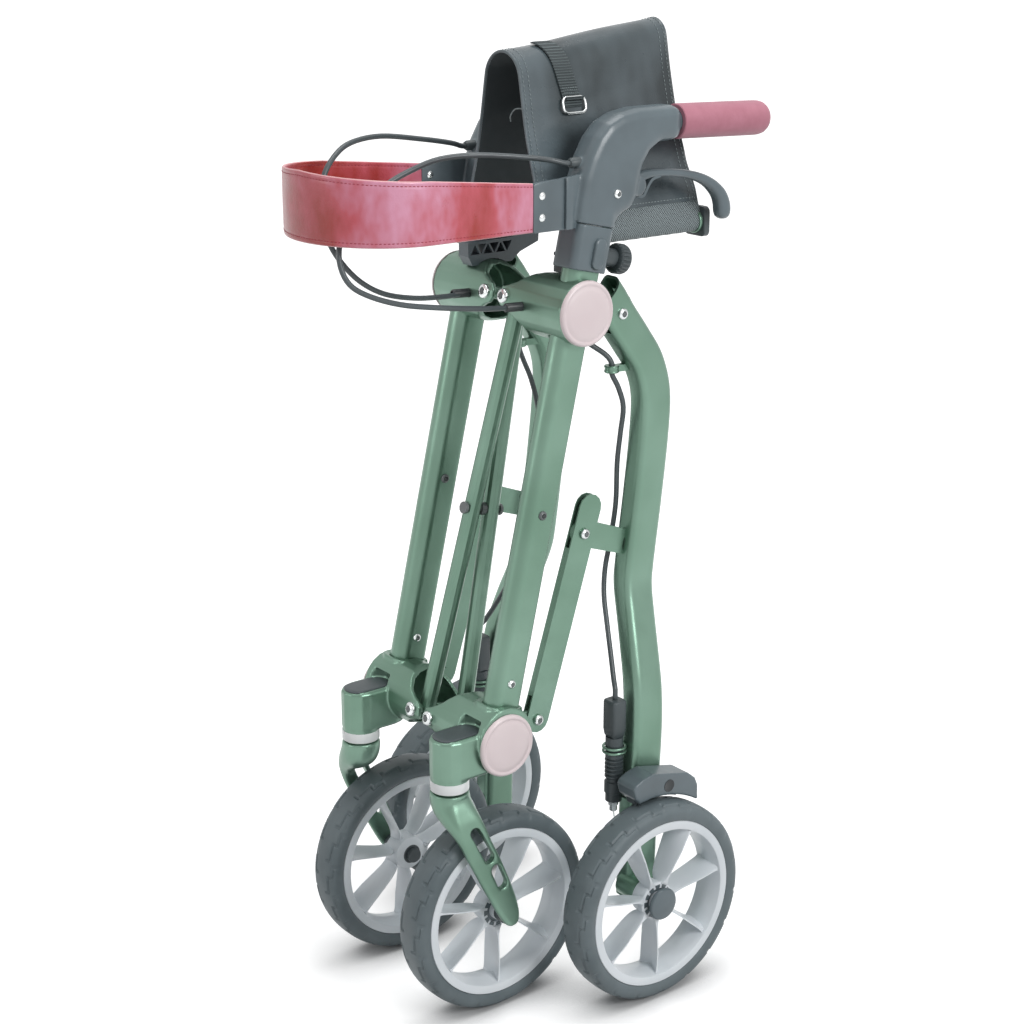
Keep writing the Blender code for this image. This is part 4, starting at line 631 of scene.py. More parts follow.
INSET_Y = -0.0120           # middle of the pad on the caster's housing
for side, sign in SIDES:
    profile = [(0.0, 0.1680), (0.0100, 0.1680), (0.0104, 0.1690), (0.0153, 0.1694), (0.0161, 0.1704),
               (0.0160, 0.1722), (0.0150, 0.1736), (0.0126, 0.1743), (0.0064, 0.1748), (0.0, 0.1749)]
    lathe(side + "axle_cap", profile, outward(sign, 0, *REAR_AXLE), GREY, side + "rear_leg",
          40)
    swivel = Matrix.Translation(at(sign * CASTER[0], CASTER[1], 0))
    profile = [(0.0170, 0.2372), (0.0181, 0.2374), (0.0183, 0.2380), (0.0183, 0.2462), (0.0181, 0.2468),
               (0.0170, 0.2470)]
    lathe(side + "neck_band", profile, swivel, BAND, side + "frame", 56)
    outline = []
    for i in range(28):
        angle = 2 * math.pi * i / 28
        y = 0.0105 * math.sin(angle) + (0.0112 if math.sin(angle) > 0 else -0.0112)
        outline.append((0.0142 * math.cos(angle) * 0.97, y * 1.10))
    loops = [[at(sign * CASTER[0] + scale * x, INSET_Y + scale * y, z) for x, y in outline]
             for scale, z in ((0.98, 0.2884), (1.0, 0.2886), (1.0, 0.2897), (0.95, 0.2903), (0.80, 0.2905))]
    skinned(side + "housing_inset", loops, DARK, side + "frame")


# Cast and moulded pieces

for side, sign in SIDES:
    stand_in(side + "handle_casting", node_mesh(side + "handle_casting"), GREY,
             softening(0.0013, 14, 0.4))
    boss = LEG @ Matrix.Translation((sign * LEG_X, 0.0501, 0.4615))
    corners = [boss @ Vector((-0.03, n, e)) for n, e in ((0, -0.04), (0.06, -0.04), (0.06, 0.04), (0, 0.04))]
    collar = cut_by(node_mesh(side + "collar"), solid_mesh(prism(corners, 0.06, 0, 0)))
    stand_in(side + "collar", collar, GREY, softening(0.0012, 5, 0.5))
    for hub in ("lower_hub", "upper_hub"):
        stand_in(side + hub, node_mesh(side + hub), GREEN, softening(0.0012, 6, 0.4))

FORK_PATH = (               # middle of the section, its thickness and its width
    (0.0740, -0.0205, 0.2352, 0.0350, 0.0350), (0.0740, -0.0205, 0.2340, 0.0366, 0.0366),
    (0.0742, -0.0205, 0.2290, 0.0372, 0.0374), (0.0775, -0.0202, 0.2215, 0.0350, 0.0372),
    (0.0860, -0.0190, 0.2135, 0.0255, 0.0356), (0.0945, -0.0165, 0.2045, 0.0160, 0.0330),
    (0.0995, -0.0125, 0.1935, 0.0104, 0.0312), (0.1010, -0.0070, 0.1800, 0.0086, 0.0304),
    (0.1012, 0.0010, 0.1640, 0.0080, 0.0300), (0.1012, 0.0090, 0.1470, 0.0078, 0.0290),
    (0.1012, 0.0170, 0.1300, 0.0078, 0.0272), (0.1012, 0.0240, 0.1140, 0.0078, 0.0246),
    (0.1012, 0.0290, 0.1020, 0.0078, 0.0206), (0.1012, 0.0318, 0.0945, 0.0076, 0.0150),
    (0.1012, 0.0330, 0.0908, 0.0066, 0.0084))
FORK_SLOTS = (((-0.0120, 0.1990), (0.0030, 0.1700)), ((0.0105, 0.1560), (0.0180, 0.1390)))
for side, sign in SIDES:
    spine = smooth_route([at(sign * x, y, z) for x, y, z, thick, wide in FORK_PATH], 5)
    sizes = smooth_route([(thick, wide, 0) for x, y, z, thick, wide in FORK_PATH], 5)

    def fork_section(centre, way, i):
        ahead = way.normalized()
        wide = Vector((sign, 0, 0)).cross(ahead).normalized()
        thick = ahead.cross(wide).normalized()
        return [centre + thick * u + wide * v
                for u, v in round_profile(sizes[i].x, sizes[i].y, 0.49 * sizes[i].x, 6)]

    holes = []
    for (y0, z0), (y1, z1) in FORK_SLOTS:
        lean = math.degrees(math.atan2(z1 - z0, y1 - y0))
        outline = circle(y1, z1, 0.0053, lean - 90, 15, 13) + circle(y0, z0, 0.0053, lean + 90, 15, 13)
        holes.append(prism([at(sign * 0.08, y, z) for y, z in outline], sign * 0.04, 0, 0))
    arm = cut_by(solid_mesh(swept(spine, fork_section)), solid_mesh(*holes))
    stand_in(side + "fork", arm, GREEN, softening(0.0011, 5, 0.5))
    profile = [(0.0, 0.0552), (0.0066, 0.0552), (0.0072, 0.0560), (0.0072, 0.0602), (0.0042, 0.0602),
               (0.0042, 0.0878), (0.0090, 0.0878), (0.0090, 0.0985), (0.0, 0.0985)]
    lathe(side + "front_axle_look", profile, outward(sign, 0, *FRONT_AXLE), DARK, side + "caster",
          32)
    swivel = Matrix.Translation(at(sign * CASTER[0], CASTER[1], 0))
    lathe(side + "fork_stem_look", [(0.0, 0.2320), (0.0060, 0.2320), (0.0060, 0.2600), (0.0, 0.2600)], swivel,
          STEEL, side + "caster", 20)

COVER = ((0.1440, 0.2030), (0.1385, 0.2090), (0.1360, 0.2185), (0.1385, 0.2225), (0.1470, 0.2266),
         (0.1602, 0.2291), (0.1850, 0.2232), (0.2050, 0.2185), (0.2140, 0.2110), (0.2178, 0.2020),
         (0.2180, 0.1880))
COVER_INSIDE = ((0.1490, 0.1900), (0.1430, 0.2075), (0.1600, 0.2112), (0.1800, 0.2090), (0.2000, 0.2030),
                (0.2060, 0.1980), (0.2080, 0.1700), (0.1500, 0.1800))
COVER_X = (0.1282, 0.1545)
COVER_WALL = 0.0035
TYRE_ROOM = 0.1042          # radius of the cover's underside, round the rear axle
for side, sign in SIDES:
    low, high = COVER_X
    outline = list(COVER) + circle(*REAR_AXLE, TYRE_ROOM, 57.5, 41.5 / 12, 13)
    shell = solid_mesh(prism([at(sign * low, y, z) for y, z in outline], sign * (high - low), 0, 0))
    inside = solid_mesh(prism([at(sign * (low + COVER_WALL), y, z) for y, z in COVER_INSIDE],
                              sign * (high - low - 2 * COVER_WALL), 0, 0))
    stand_in(side + "brake_cover", cut_by(shell, inside), GREY, softening(0.0010, 8, 0.4))


# Front legs and the near seat bracket

for side, sign in SIDES:
    outline = circle(0, -0.0035, 0.0125, 180, 7.5, 25) + circle(0.0080, 0.0115, 0.0045, 0, 15, 7)
    outline += circle(-0.0080, 0.0115, 0.0045, 90, 15, 7)
    loops = [[LEG @ Vector((sign * LEG_X + u, LEG_N + v, e)) for u, v in outline]
             for e in (-0.0090, 0.20, 0.42, 0.4760)]
    node = side + "front_leg"
    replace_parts(skinned(node + "_look", loops, GREEN, BODY_OF[node], 40), node)
near = [at(0.0400, y, z) for y, z in ((0.0800, 0.6800), (0.1240, 0.6800), (0.1240, 0.7600), (0.0800, 0.7600))]
bracket = cut_by(node_mesh("left_seat_bracket"), solid_mesh(prism(near, 0.0300, 0, 0)))
stand_in("left_seat_bracket", bracket, DARK, [])


# Rear legs

LEG_ROUTE = ((0.0750, 0.1555, 0.6900), (0.0750, 0.1620, 0.6760), (0.0750, 0.1690, 0.6610),
             (0.0750, 0.1900, 0.6330), (0.0750, 0.2070, 0.6080), (0.0750, 0.2160, 0.5780),
             (0.0750, 0.2150, 0.5380), (0.0750, 0.2080, 0.4750), (0.0752, 0.1995, 0.4120),
             (0.0775, 0.1965, 0.3900), (0.0860, 0.1930, 0.3650), (0.0980, 0.1880, 0.3340),
             (0.1090, 0.1835, 0.3000), (0.1145, 0.1800, 0.2600), (0.1150, 0.1770, 0.2000),
             (0.1150, 0.1750, 0.1400), (0.1150, 0.1740, 0.0860))
LEG_WIDE = 0.0250
LEG_DEEP = 0.0360
LEG_TAPER = 0.0120
BORE_SHRINK = 0.0052        # twice the tube's wall
RING_Z = 0.2430             # wire ring round the cable adjuster


def leg_section(centre, ahead, i, shrink=0.0):
    """The leg's section, which gets less deep over the first ten steps towards its head."""
    across = Vector((0, ahead.z, -ahead.y)).normalized()
    if across.y < 0:
        across = -across
    depth = LEG_DEEP - LEG_TAPER * max(0.0, 1 - i / 10)
    return [centre + Vector((u, 0, 0)) + across * v
            for u, v in round_profile(LEG_WIDE - shrink, depth - shrink, 0.0075 - shrink / 2, 6)]


for side, sign in SIDES:
    route = smooth_route([at(sign * x, y, z) for x, y, z in LEG_ROUTE], 6)
    bore = []
    for i in range(-1, 16):
        j = max(i, 0)
        centre = route[j] - (route[1] - route[0]).normalized() * (0.0100 if i < 0 else 0.0)
        bore.append(leg_section(centre, route[j + 1] - route[max(j - 1, 0)], i, BORE_SHRINK))
    leg = cut_by(solid_mesh(swept(route, leg_section)), solid_mesh(bore))
    barrel = circle(*HINGE, 0.0208, 215, -7.2, 13) + circle(0.1368, 0.7013, 0.0308, -51, 14, 10)
    barrel += [(0.1300, 0.7600), (0.1000, 0.7300), (0.1000, 0.6500)]
    for outline, reach in ((barrel, 0.0200), (circle(*HINGE, 0.0205, 0, 15, 24), 0.0074)):
        places = [at(sign * LINK_X - reach, y, z) for y, z in outline]
        leg = cut_by(leg, solid_mesh(prism(places, 2 * reach, 0, 0)))
    mesh_data = bmesh.new()
    mesh_data.from_mesh(leg)
    for face in mesh_data.faces:
        face.material_index = 0
    tab = circle(*LINK_TOP, 0.0128, 70, 22.5, 9) + circle(0.1950, 0.4330, 0.0128, 70, 22.5, 9)
    middle = (sum(y for y, z in tab) / len(tab), sum(z for y, z in tab) / len(tab))
    tab.sort(key=lambda q: math.atan2(q[1] - middle[1], q[0] - middle[0]))
    add_skin(mesh_data, [[at(sign * LINK_X - d, y, z) for y, z in tab] for d in (0.0021, -0.0021)])
    axle = [(0.0, 0.1150), (0.0115, 0.1150), (0.0115, 0.1380), (0.0100, 0.1412), (0.0044, 0.1414),
            (0.0044, 0.1690), (0.0, 0.1690)]
    add_lathe(mesh_data, axle, outward(sign, 0, *REAR_AXLE), 24)
    pin = [(0.0, 0.0635), (0.0042, 0.0635), (0.0042, 0.0890), (0.0, 0.0890)]
    add_lathe(mesh_data, pin, outward(sign, 0, *HINGE), 20)
    clip = [(0.0034, -0.0034), (0.0066, -0.0034), (0.0072, -0.0024), (0.0064, 0.0), (0.0072, 0.0024),
            (0.0066, 0.0034), (0.0034, 0.0034)]
    add_lathe(mesh_data, clip, Matrix.Translation(at(sign * CLIP[0], *CLIP[1:])), 28)
    for rise in (-0.0022, 0.0022):
        ring = [at(sign * ADJUSTER[0] + x, y, RING_Z + rise)
                for x, y in circle(0, ADJUSTER[1], 0.0106, 0, 360 / 28, 28)]
        add_tube(mesh_data, ring, 0.0014, 8, True)
    for x, y, z, near, far in ((*ADJUSTER, RING_Z, 0.0106, 0.0220), (*CLIP, 0.0056, 0.0240)):
        arm = [at(sign * x + d, y + e, z - 0.0032)
               for d, e in ((-0.0030, near), (0.0030, near), (0.0060, far), (-0.0010, far))]
        add_skin(mesh_data, prism(arm, 0, 0, 0.0064))
    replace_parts(finished(mesh_data, side + "rear_leg_look", GREEN, side + "rear_leg", 40),
                side + "rear_leg")


# Hub caps

for side, sign in SIDES:
    for level, rise in (("lower", 0.0), ("upper", PIN_RISE)):
        place = Matrix.Translation(LEG @ Vector((0, LEG_N, rise))) @ facing(sign)
        profile = [(0.0, 0.1014), (0.0120, 0.1013), (0.0200, 0.1009), (0.0240, 0.1004), (0.0250, 0.0998),
                   (0.0257, 0.0999), (0.0266, 0.1006), (0.0278, 0.1006), (0.0290, 0.0998), (0.0298, 0.0984),
                   (0.0300, 0.0968), (0.0, 0.0966)]
        node = "%s%s_cap" % (side, level)
        cap = lathe(node + "_look", profile, place, CAP, BODY_OF[node], 72, None, 50)
        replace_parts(cap, node)


# Brake levers

LEVER = (                   # side view: middle, half the thickness, half the width
    (0.1780, 0.7745, 0.0062, 0.0052), (0.1850, 0.7775, 0.0070, 0.0054), (0.1935, 0.7828, 0.0052, 0.0054),
    (0.2060, 0.7848, 0.0038, 0.0056), (0.2200, 0.7846, 0.0035, 0.0058), (0.2340, 0.7831, 0.0036, 0.0060),
    (0.2480, 0.7808, 0.0038, 0.0062), (0.2620, 0.7772, 0.0042, 0.0064), (0.2740, 0.7722, 0.0048, 0.0067),
    (0.2840, 0.7655, 0.0058, 0.0070), (0.2912, 0.7580, 0.0068, 0.0072), (0.2950, 0.7500, 0.0076, 0.0074),
    (0.2962, 0.7430, 0.0078, 0.0074), (0.2964, 0.7380, 0.0066, 0.0064), (0.2964, 0.7352, 0.0038, 0.0038))
LEVER_X = 0.0800
STRUT = ((0.1835, 0.7700, 0), (0.1890, 0.7660, 0), (0.1950, 0.7660, 0), (0.1990, 0.7720, 0),
         (0.2050, 0.7795, 0), (0.2150, 0.7825, 0))
PLATE = ((0.0672, 0.7445), (0.1180, 0.7445), (0.1180, 0.7918), (0.0980, 0.7896), (0.0690, 0.7882),
         (0.0668, 0.7860), (0.0668, 0.7470))
RIB = ((0.1010, 0.7446), (0.1085, 0.7446), (0.1085, 0.7912), (0.1010, 0.7904))
for side, sign in SIDES:
    spine = smooth_route([values[:3] for values in LEVER], 5)
    widths = smooth_route([(values[3], 0, 0) for values in LEVER], 5)

    def lever_section(place, ahead, i):
        across = Vector((-ahead.y, ahead.x)).normalized()
        return [at(sign * LEVER_X + u * widths[i].x, place.x + across.x * v * place.z,
                   place.y + across.y * v * place.z) for u, v in round_profile(2.0, 2.0, 0.80, 5)]

    def strut_section(place, ahead, i):
        across = Vector((-ahead.y, ahead.x)).normalized() * 0.0014
        return [at(sign * LEVER_X + u, place.x + k * across.x, place.y + k * across.y)
                for u, k in ((-0.0045, -1), (0.0045, -1), (0.0045, 1), (-0.0045, 1))]

    mesh_data = bmesh.new()
    add_skin(mesh_data, swept(spine, lever_section))
    add_skin(mesh_data, swept(smooth_route(STRUT, 4), strut_section))
    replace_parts(finished(mesh_data, side + "brake_lever_look", GREY, side + "lever", 50),
                side + "brake_lever")
    mesh_data = bmesh.new()
    for low, high, outline in ((0.0817, 0.0863, PLATE), (0.0862, 0.0892, RIB)):
        add_skin(mesh_data, prism([at(sign * low, y, z) for y, z in outline], sign * (high - low), 0, 0))
    bmesh.ops.bevel(mesh_data, geom=mesh_data.edges[:], offset=0.0006, segments=2,
                    affect="EDGES", profile=0.5)
    finished(mesh_data, side + "tongue_plate", GREY, side + "handle", 40)


# Fasteners

def button_head(name, place, radius, body, metal=STEEL):
    """A domed head standing on a place's Z axis, its socket a darker hexagon that fills the recess: painted
    shade for the socket's hollow.
    """
    profile = [(0.0, -0.0010), (radius, -0.0010), (radius, 0.0004), (0.93 * radius, 0.0014),
               (0.75 * radius, 0.0021), (0.52 * radius, 0.0025), (0.50 * radius, 0.0024),
               (0.46 * radius, 0.0008), (0.0, 0.0006)]
    mesh_data = bmesh.new()
    add_lathe(mesh_data, profile, place, 30)
    # Painted shade: a darker hexagon fills the socket's hollow.
    socket = [(0.0, 0.0008), (0.44 * radius, 0.0008), (0.44 * radius, 0.0026), (0.0, 0.0022)]
    add_lathe(mesh_data, socket, place, 6, 1)
    finished(mesh_data, name, [metal, SOCKET if metal is STEEL else BLACK], body, 50)


HEADS = (                   # name, place, radius, body
    ("hinge_head", (0.0883, *HINGE), 0.0054, "rear_leg"),
    ("link_foot_head", (0.0803, *LINK_FOOT), 0.0052, "link"),
    ("link_top_head", (0.0803, *LINK_TOP), 0.0052, "link"),
    ("casting_screw", (0.0932, 0.1560, 0.7720), 0.0042, "handle"))
for side, sign in SIDES:
    for level, body, rise in (("lower", "frame", 0.0), ("upper", "slider", PIN_RISE)):
        place = LEG @ Matrix.Translation((sign * PIN_X, -0.0030, rise)) @ FORWARD
        button_head(side + level + "_pin_head", place, 0.0068, side + body)
    for name, (x, y, z), radius, body in HEADS:
        button_head(side + name, outward(sign, sign * x, y, z), radius, side + body)
    for level, z, radius, metal in (("lower", 0.3300, 0.0042, STEEL), ("upper", 0.4860, 0.0044, SOCKET)):
        y = LEG_N / math.cos(LEAN) + (z - PIN_Z) * math.tan(LEAN)
        for face, x, turn in (("outer", 0.0885, 0.0), ("inner", 0.0635, math.pi)):
            place = outward(sign, sign * x, y, z) @ Matrix.Rotation(turn, 4, "X")
            button_head("%s%s_%s_leg_bolt" % (side, level, face), place, radius, side + "frame", metal)


# Grips, knobs and collars

KNOB_TEETH = 22


def knurl(angle, i):
    return -0.0010 if i in (4, 5) and math.sin(KNOB_TEETH * angle) > 0.2 else 0.0


for side, sign in SIDES:
    place = (Matrix.Translation(at(sign * 0.078, 0.2355, 0.8292))
             @ Matrix.Rotation(-math.radians(2), 4, "X") @ ALONG_Y)
    profile = [(0.0113, 0.0004), (0.0150, 0.0004), (0.0158, 0.0012), (0.0160, 0.0030), (0.0161, 0.0600),
               (0.0161, 0.0990), (0.0158, 0.1030), (0.0150, 0.1065), (0.0134, 0.1092), (0.0110, 0.1107),
               (0.0080, 0.1112), (0.0, 0.1113), (0.0, 0.1000), (0.0113, 0.1000)]
    piece = lathe(side + "grip_look", profile, place, FOAM, side + "handle", 56)
    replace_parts(piece, side + "grip")
    place = LEG @ Matrix.Translation((sign * LEG_X, LEG_N + 0.0370, 0.4560)) @ ALONG_Y
    profile = [(0.0085, -0.0175), (0.0085, 0.0), (0.0105, 0.0), (0.0128, 0.0012), (0.0139, 0.0028),
               (0.0140, 0.0100), (0.0132, 0.0120), (0.0118, 0.0130), (0.0085, 0.0131), (0.0080, 0.0118),
               (0.0, 0.0118), (0.0, -0.0175)]
    knob = lathe(side + "knob_look", profile, place, DARK, side + "knob", 8 * KNOB_TEETH,
                 knurl, 30)
    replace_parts(knob, side + "knob")
    outline = round_profile(0.0125, 0.0280, 0.0056, 5)
    loops = [[LEG @ Vector((sign * x, 0.0330 + scale * u, 0.4580 + scale * v)) for u, v in outline]
             for scale, x in ((1.0, 0.0915), (1.0, 0.0948), (0.96, 0.0958), (0.86, 0.0964))]
    skinned(side + "collar_clip", loops, GREY, side + "frame")


# Brake gear on the rear legs

BELLOWS = 5
for side, sign in SIDES:
    place = Matrix.Translation(at(sign * ADJUSTER[0], ADJUSTER[1], 0))
    mesh_data = bmesh.new()
    outline = round_profile(0.0180, 0.0165, 0.0030, 3)
    add_skin(mesh_data, [[place @ Vector((scale * u, scale * v, z)) for u, v in outline] for scale, z in (
        (0.86, 0.2935), (0.97, 0.2925), (1.0, 0.2910), (1.0, 0.2640), (0.90, 0.2580), (0.72, 0.2550))])
    profile = [(0.0, 0.2556), (0.0086, 0.2556), (0.0086, 0.2345)]
    for i in range(BELLOWS):
        top = 0.2340 - i * 0.0042
        profile += [(0.0070, top), (0.0070, top - 0.0010), (0.0090, top - 0.0016), (0.0090, top - 0.0030)]
    profile += [(0.0074, 0.2125), (0.0074, 0.2095), (0.0092, 0.2090), (0.0092, 0.1980), (0.0080, 0.1972),
                (0.0080, 0.1890), (0.0, 0.1888)]
    add_lathe(mesh_data, profile, place, 28)
    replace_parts(finished(mesh_data, side + "adjuster_look", DARK, side + "rear_leg"),
                side + "cable_adjuster")
    profile = [(0.0, 0.1895), (0.0050, 0.1895), (0.0050, 0.1840), (0.0038, 0.1835), (0.0038, 0.1780),
               (0.0, 0.1778)]
    lathe(side + "adjuster_tip", profile, place, STEEL, side + "rear_leg", 6, None, 20)
    wire = smooth_route([at(sign * 0.108, 0.150, 0.180), at(sign * 0.1085, 0.1515, 0.170),
                         at(sign * 0.112, 0.158, 0.163), at(sign * 0.118, 0.168, 0.160)])
    tube(side + "brake_wire", wire, 0.0008, 8, STEEL, side + "rear_leg")
    # A thin black disc on the brake cover's outer face: painted shade standing in for the dark of a hole.
    profile = [(0.0, 0.1535), (0.0062, 0.1535), (0.0062, 0.1549), (0.0055, 0.1549), (0.0050, 0.1546),
               (0.0, 0.1546)]
    lathe(side + "cover_hole_shade_disc", profile, outward(sign, 0, 0.1800, 0.2122), BLACK, side + "rear_leg",
          28)


# Brake cables

ROUTES = {
    "left_": ((0.0775, 0.1158, 0.8010), (0.0773, 0.1090, 0.8012), (0.0735, 0.0980, 0.8040),
              (0.0640, 0.0800, 0.8070), (0.0480, 0.0370, 0.8110), (0.0360, 0.0030, 0.8090),
              (0.0280, -0.0230, 0.8000), (0.0250, -0.0450, 0.7900), (0.0240, -0.0670, 0.7770),
              (0.0260, -0.0890, 0.7570), (0.0300, -0.0985, 0.7350), (0.0360, -0.0950, 0.7140),
              (0.0400, -0.0790, 0.7010), (0.0430, -0.0460, 0.6890), (0.0440, -0.0040, 0.6810),
              (0.0430, 0.0400, 0.6745), (0.0410, 0.0700, 0.6712), (0.0400, 0.0960, 0.6700)),
    "right_": ((0.0775, 0.1158, 0.8010), (0.0775, 0.1090, 0.8012), (0.0770, 0.0960, 0.8050),
               (0.0755, 0.0630, 0.8110), (0.0690, 0.0130, 0.8180), (0.0580, -0.0270, 0.8160),
               (0.0500, -0.0500, 0.8060), (0.0440, -0.0650, 0.7900), (0.0380, -0.0730, 0.7670),
               (0.0320, -0.0710, 0.7410), (0.0270, -0.0620, 0.7200), (0.0240, -0.0430, 0.6990),
               (0.0250, -0.0160, 0.6840), (0.0300, 0.0200, 0.6750), (0.0360, 0.0550, 0.6710),
               (0.0390, 0.0780, 0.6702), (0.0400, 0.0960, 0.6700))}
LOWER_ROUTE = ((0.0520, 0.1370, 0.6480), (0.0530, 0.1460, 0.6370), (0.0575, 0.1580, 0.6280),
               (0.0660, 0.1680, 0.6190), (0.0700, 0.1720, 0.6110), (0.0702, 0.1722, 0.6010),
               (0.0720, 0.1790, 0.5870), (0.0700, 0.1870, 0.5670), (0.0630, 0.1900, 0.5400),
               (0.0590, 0.1900, 0.5100), (0.0590, 0.1890, 0.4700), (0.0590, 0.1830, 0.4350),
               (0.0600, 0.1760, 0.4070), (0.0660, 0.1700, 0.3830), (0.0770, 0.1650, 0.3580),
               (0.0900, 0.1590, 0.3330), (0.1020, 0.1530, 0.3120), (0.1078, 0.1502, 0.3035),
               (0.1080, 0.1500, 0.2940))
CABLE_RADIUS = 0.0025


for side, sign in SIDES:
    for part, places in (("upper", ROUTES[side]), ("lower", LOWER_ROUTE)):
        route = smooth_route([at(sign * x, y, z) for x, y, z in places], 5)
        piece = tube("%s%s_cable_look" % (side, part), route, CABLE_RADIUS, 14, SHEATH, None)
        if part == "upper":
            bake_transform(piece)
        else:
            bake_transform(piece)
        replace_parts(piece, "%s%s_cable" % (side, part))
    place = Matrix.Translation(at(sign * CABLE_PORT[0], *CABLE_PORT[1:])) @ ALONG_Y
    profile = [(0.0027, -0.0030), (0.0036, -0.0028), (0.0040, -0.0018), (0.0047, -0.0008), (0.0049, 0.0080),
               (0.0027, 0.0080)]
    lathe(side + "ferrule_look", profile, place, DARK, side + "handle", 28)
    place = (Matrix.Translation(at(sign * 0.0405, 0.0700, 0.6712))
             @ Matrix.Rotation(math.radians(-3), 4, "X") @ ALONG_Y)
    profile = [(0.0026, 0.0), (0.0036, 0.0003), (0.0042, 0.0012), (0.0042, 0.0240), (0.0026, 0.0240)]
    lathe(side + "cable_sleeve", profile, place, BLACK, side + "cable", 24)


# Seat cover

RAIL = Vector((0.0505, 0.7300))
RAIL_REACH = 0.0094         # from the rail's axis to the middle of the cloth
LEAN_SEAT = math.radians(14.0)
RIDGE_RADII = (0.0250, 0.0180)   # at the front and rear edges
LEATHER = 0.0018
HEM_Z = 0.7500
SEAT_SAG = 0.0030
SEAT_FRONT = ((0.7400, 0.1010), (0.7800, 0.0996), (0.8300, 0.0986), (0.8800, 0.0984), (0.9500, 0.0990))
SEAT_REAR = ((0.7400, 0.2870), (0.7570, 0.2866), (0.7900, 0.2810), (0.8300, 0.2780), (0.8800, 0.2765),
             (0.9500, 0.2770))
SEAT_COLUMNS = 64
SEAT_ROWS = 56
SEAT_DEPTH = 0.185          # between the front and rear edges, about


def between(table, value):
    for (a, va), (b, vb) in zip(table, table[1:]):
        if value <= b:
            t = max(0.0, (value - a) / (b - a))
            return va + (vb - va) * t * t * (3 - 2 * t)
    return table[-1][1]


def seat_line(rows, ridge):
    """Half of the tent's section, from the hem up to a ridge of that radius: places (x, z) and normals."""
    normal = Vector((math.cos(LEAN_SEAT), math.sin(LEAN_SEAT)))
    along = Vector((-math.sin(LEAN_SEAT), math.cos(LEAN_SEAT)))
    foot = RAIL + normal * RAIL_REACH
    run = (foot.x - ridge * math.cos(LEAN_SEAT)) / math.sin(LEAN_SEAT)
    skip = (HEM_Z - foot.y) / math.cos(LEAN_SEAT)
    bend = (math.pi / 2 - LEAN_SEAT) * ridge
    total = run - skip + bend
    centre = foot + along * run - normal * ridge
    line = []
    for i in range(rows + 1):
        s = total * i / rows
        if s < run - skip:
            t = s / (run - skip)
            sag = SEAT_SAG * math.sin(math.pi * t) ** 1.3
            line.append((foot + along * (skip + s) - normal * sag, normal))
        else:
            angle = LEAN_SEAT + (s - run + skip) / ridge
            way = Vector((math.cos(angle), math.sin(angle)))
            line.append((centre + way * ridge, way))
    return line, total


def creases(v, s):
    """Shallow drapes that run down from the ridge and gather at the hem."""
    low = math.exp(-((s - 0.10) / 0.22) ** 2)
    wave = 0.0010 * low * math.sin(14 * v + 2.0 * math.sin(5 * s))
    wave += 0.0007 * math.sin(6.5 * v + 3.1 * s + 0.7)
    return wave - 0.0009 * math.exp(-((s - 0.62 - 0.18 * (v - 0.5)) / 0.05) ** 2)


HALF_LINES = [seat_line(SEAT_ROWS, ridge) for ridge in RIDGE_RADII]
HALF_LENGTH = sum(total for line, total in HALF_LINES) / 2
ROWS = [(i, 1) for i in range(SEAT_ROWS + 1)] + [(i, -1) for i in range(SEAT_ROWS - 1, -1, -1)]


def seat_point(row, v):
    """The tent's section at a row, which may be a fraction, and at v between its front and rear edges."""
    low = min(int(row), SEAT_ROWS - 1)
    t = row - low
    ends = []
    for line, total in HALF_LINES:
        (p0, n0), (p1, n1) = line[low], line[low + 1]
        ends.append((p0.lerp(p1, t), n0.lerp(n1, t)))
    return ends[0][0].lerp(ends[1][0], v), ends[0][1].lerp(ends[1][1], v).normalized()


def seat_place(index, v, lift=0.0):
    """A place on the tent: v runs from the front edge to the rear one, lift is off the cloth's middle."""
    row, sign = ROWS[index]
    point, normal = seat_point(row, v)
    front, rear = between(SEAT_FRONT, point.y), between(SEAT_REAR, point.y)
    off = lift + creases(v, row / SEAT_ROWS) * min(1.0, 6 * v, 6 * (1 - v))
    return at(sign * (point.x + normal.x * off), front + (rear - front) * v, point.y + normal.y * off)


def seat_normal(index, v=0.5):
    row, sign = ROWS[index]
    normal = seat_point(row, v)[1]
    return Vector((sign * normal.x, 0, normal.y))


def seat_cover():
    mesh_data = bmesh.new()
    loops = []
    for index in range(len(ROWS)):
        loop = []
        for k in range(SEAT_COLUMNS + 1):
            v = k / SEAT_COLUMNS
            edge = 0.0005 if v * (1 - v) < 0.012 else 0.0
            loop.append(seat_place(index, v, LEATHER / 2 + edge))
        for k in range(SEAT_COLUMNS, -1, -1):
            loop.append(seat_place(index, k / SEAT_COLUMNS, -LEATHER / 2))
        loops.append(loop)
    add_skin(mesh_data, loops)
    mesh_data.faces.ensure_lookup_table()
    around = 2 * (SEAT_COLUMNS + 1)
    walls = around * (len(ROWS) - 1)
    for i, face in enumerate(mesh_data.faces):
        inner = i < walls and SEAT_COLUMNS < i % around < around - 1
        face.material_index = 1 if inner else 0
    return finished(mesh_data, "seat_cover", [SEAT, LINING], None, 50)


def seat_route(inset, lift=LEATHER / 2):
    """A line that keeps its distance from the front edge, or from the rear one where it is negative."""
    v = inset / SEAT_DEPTH if inset > 0 else 1 + inset / SEAT_DEPTH
    places = range(len(ROWS))
    return [seat_place(i, v, lift) for i in places], [seat_normal(i, v) for i in places]


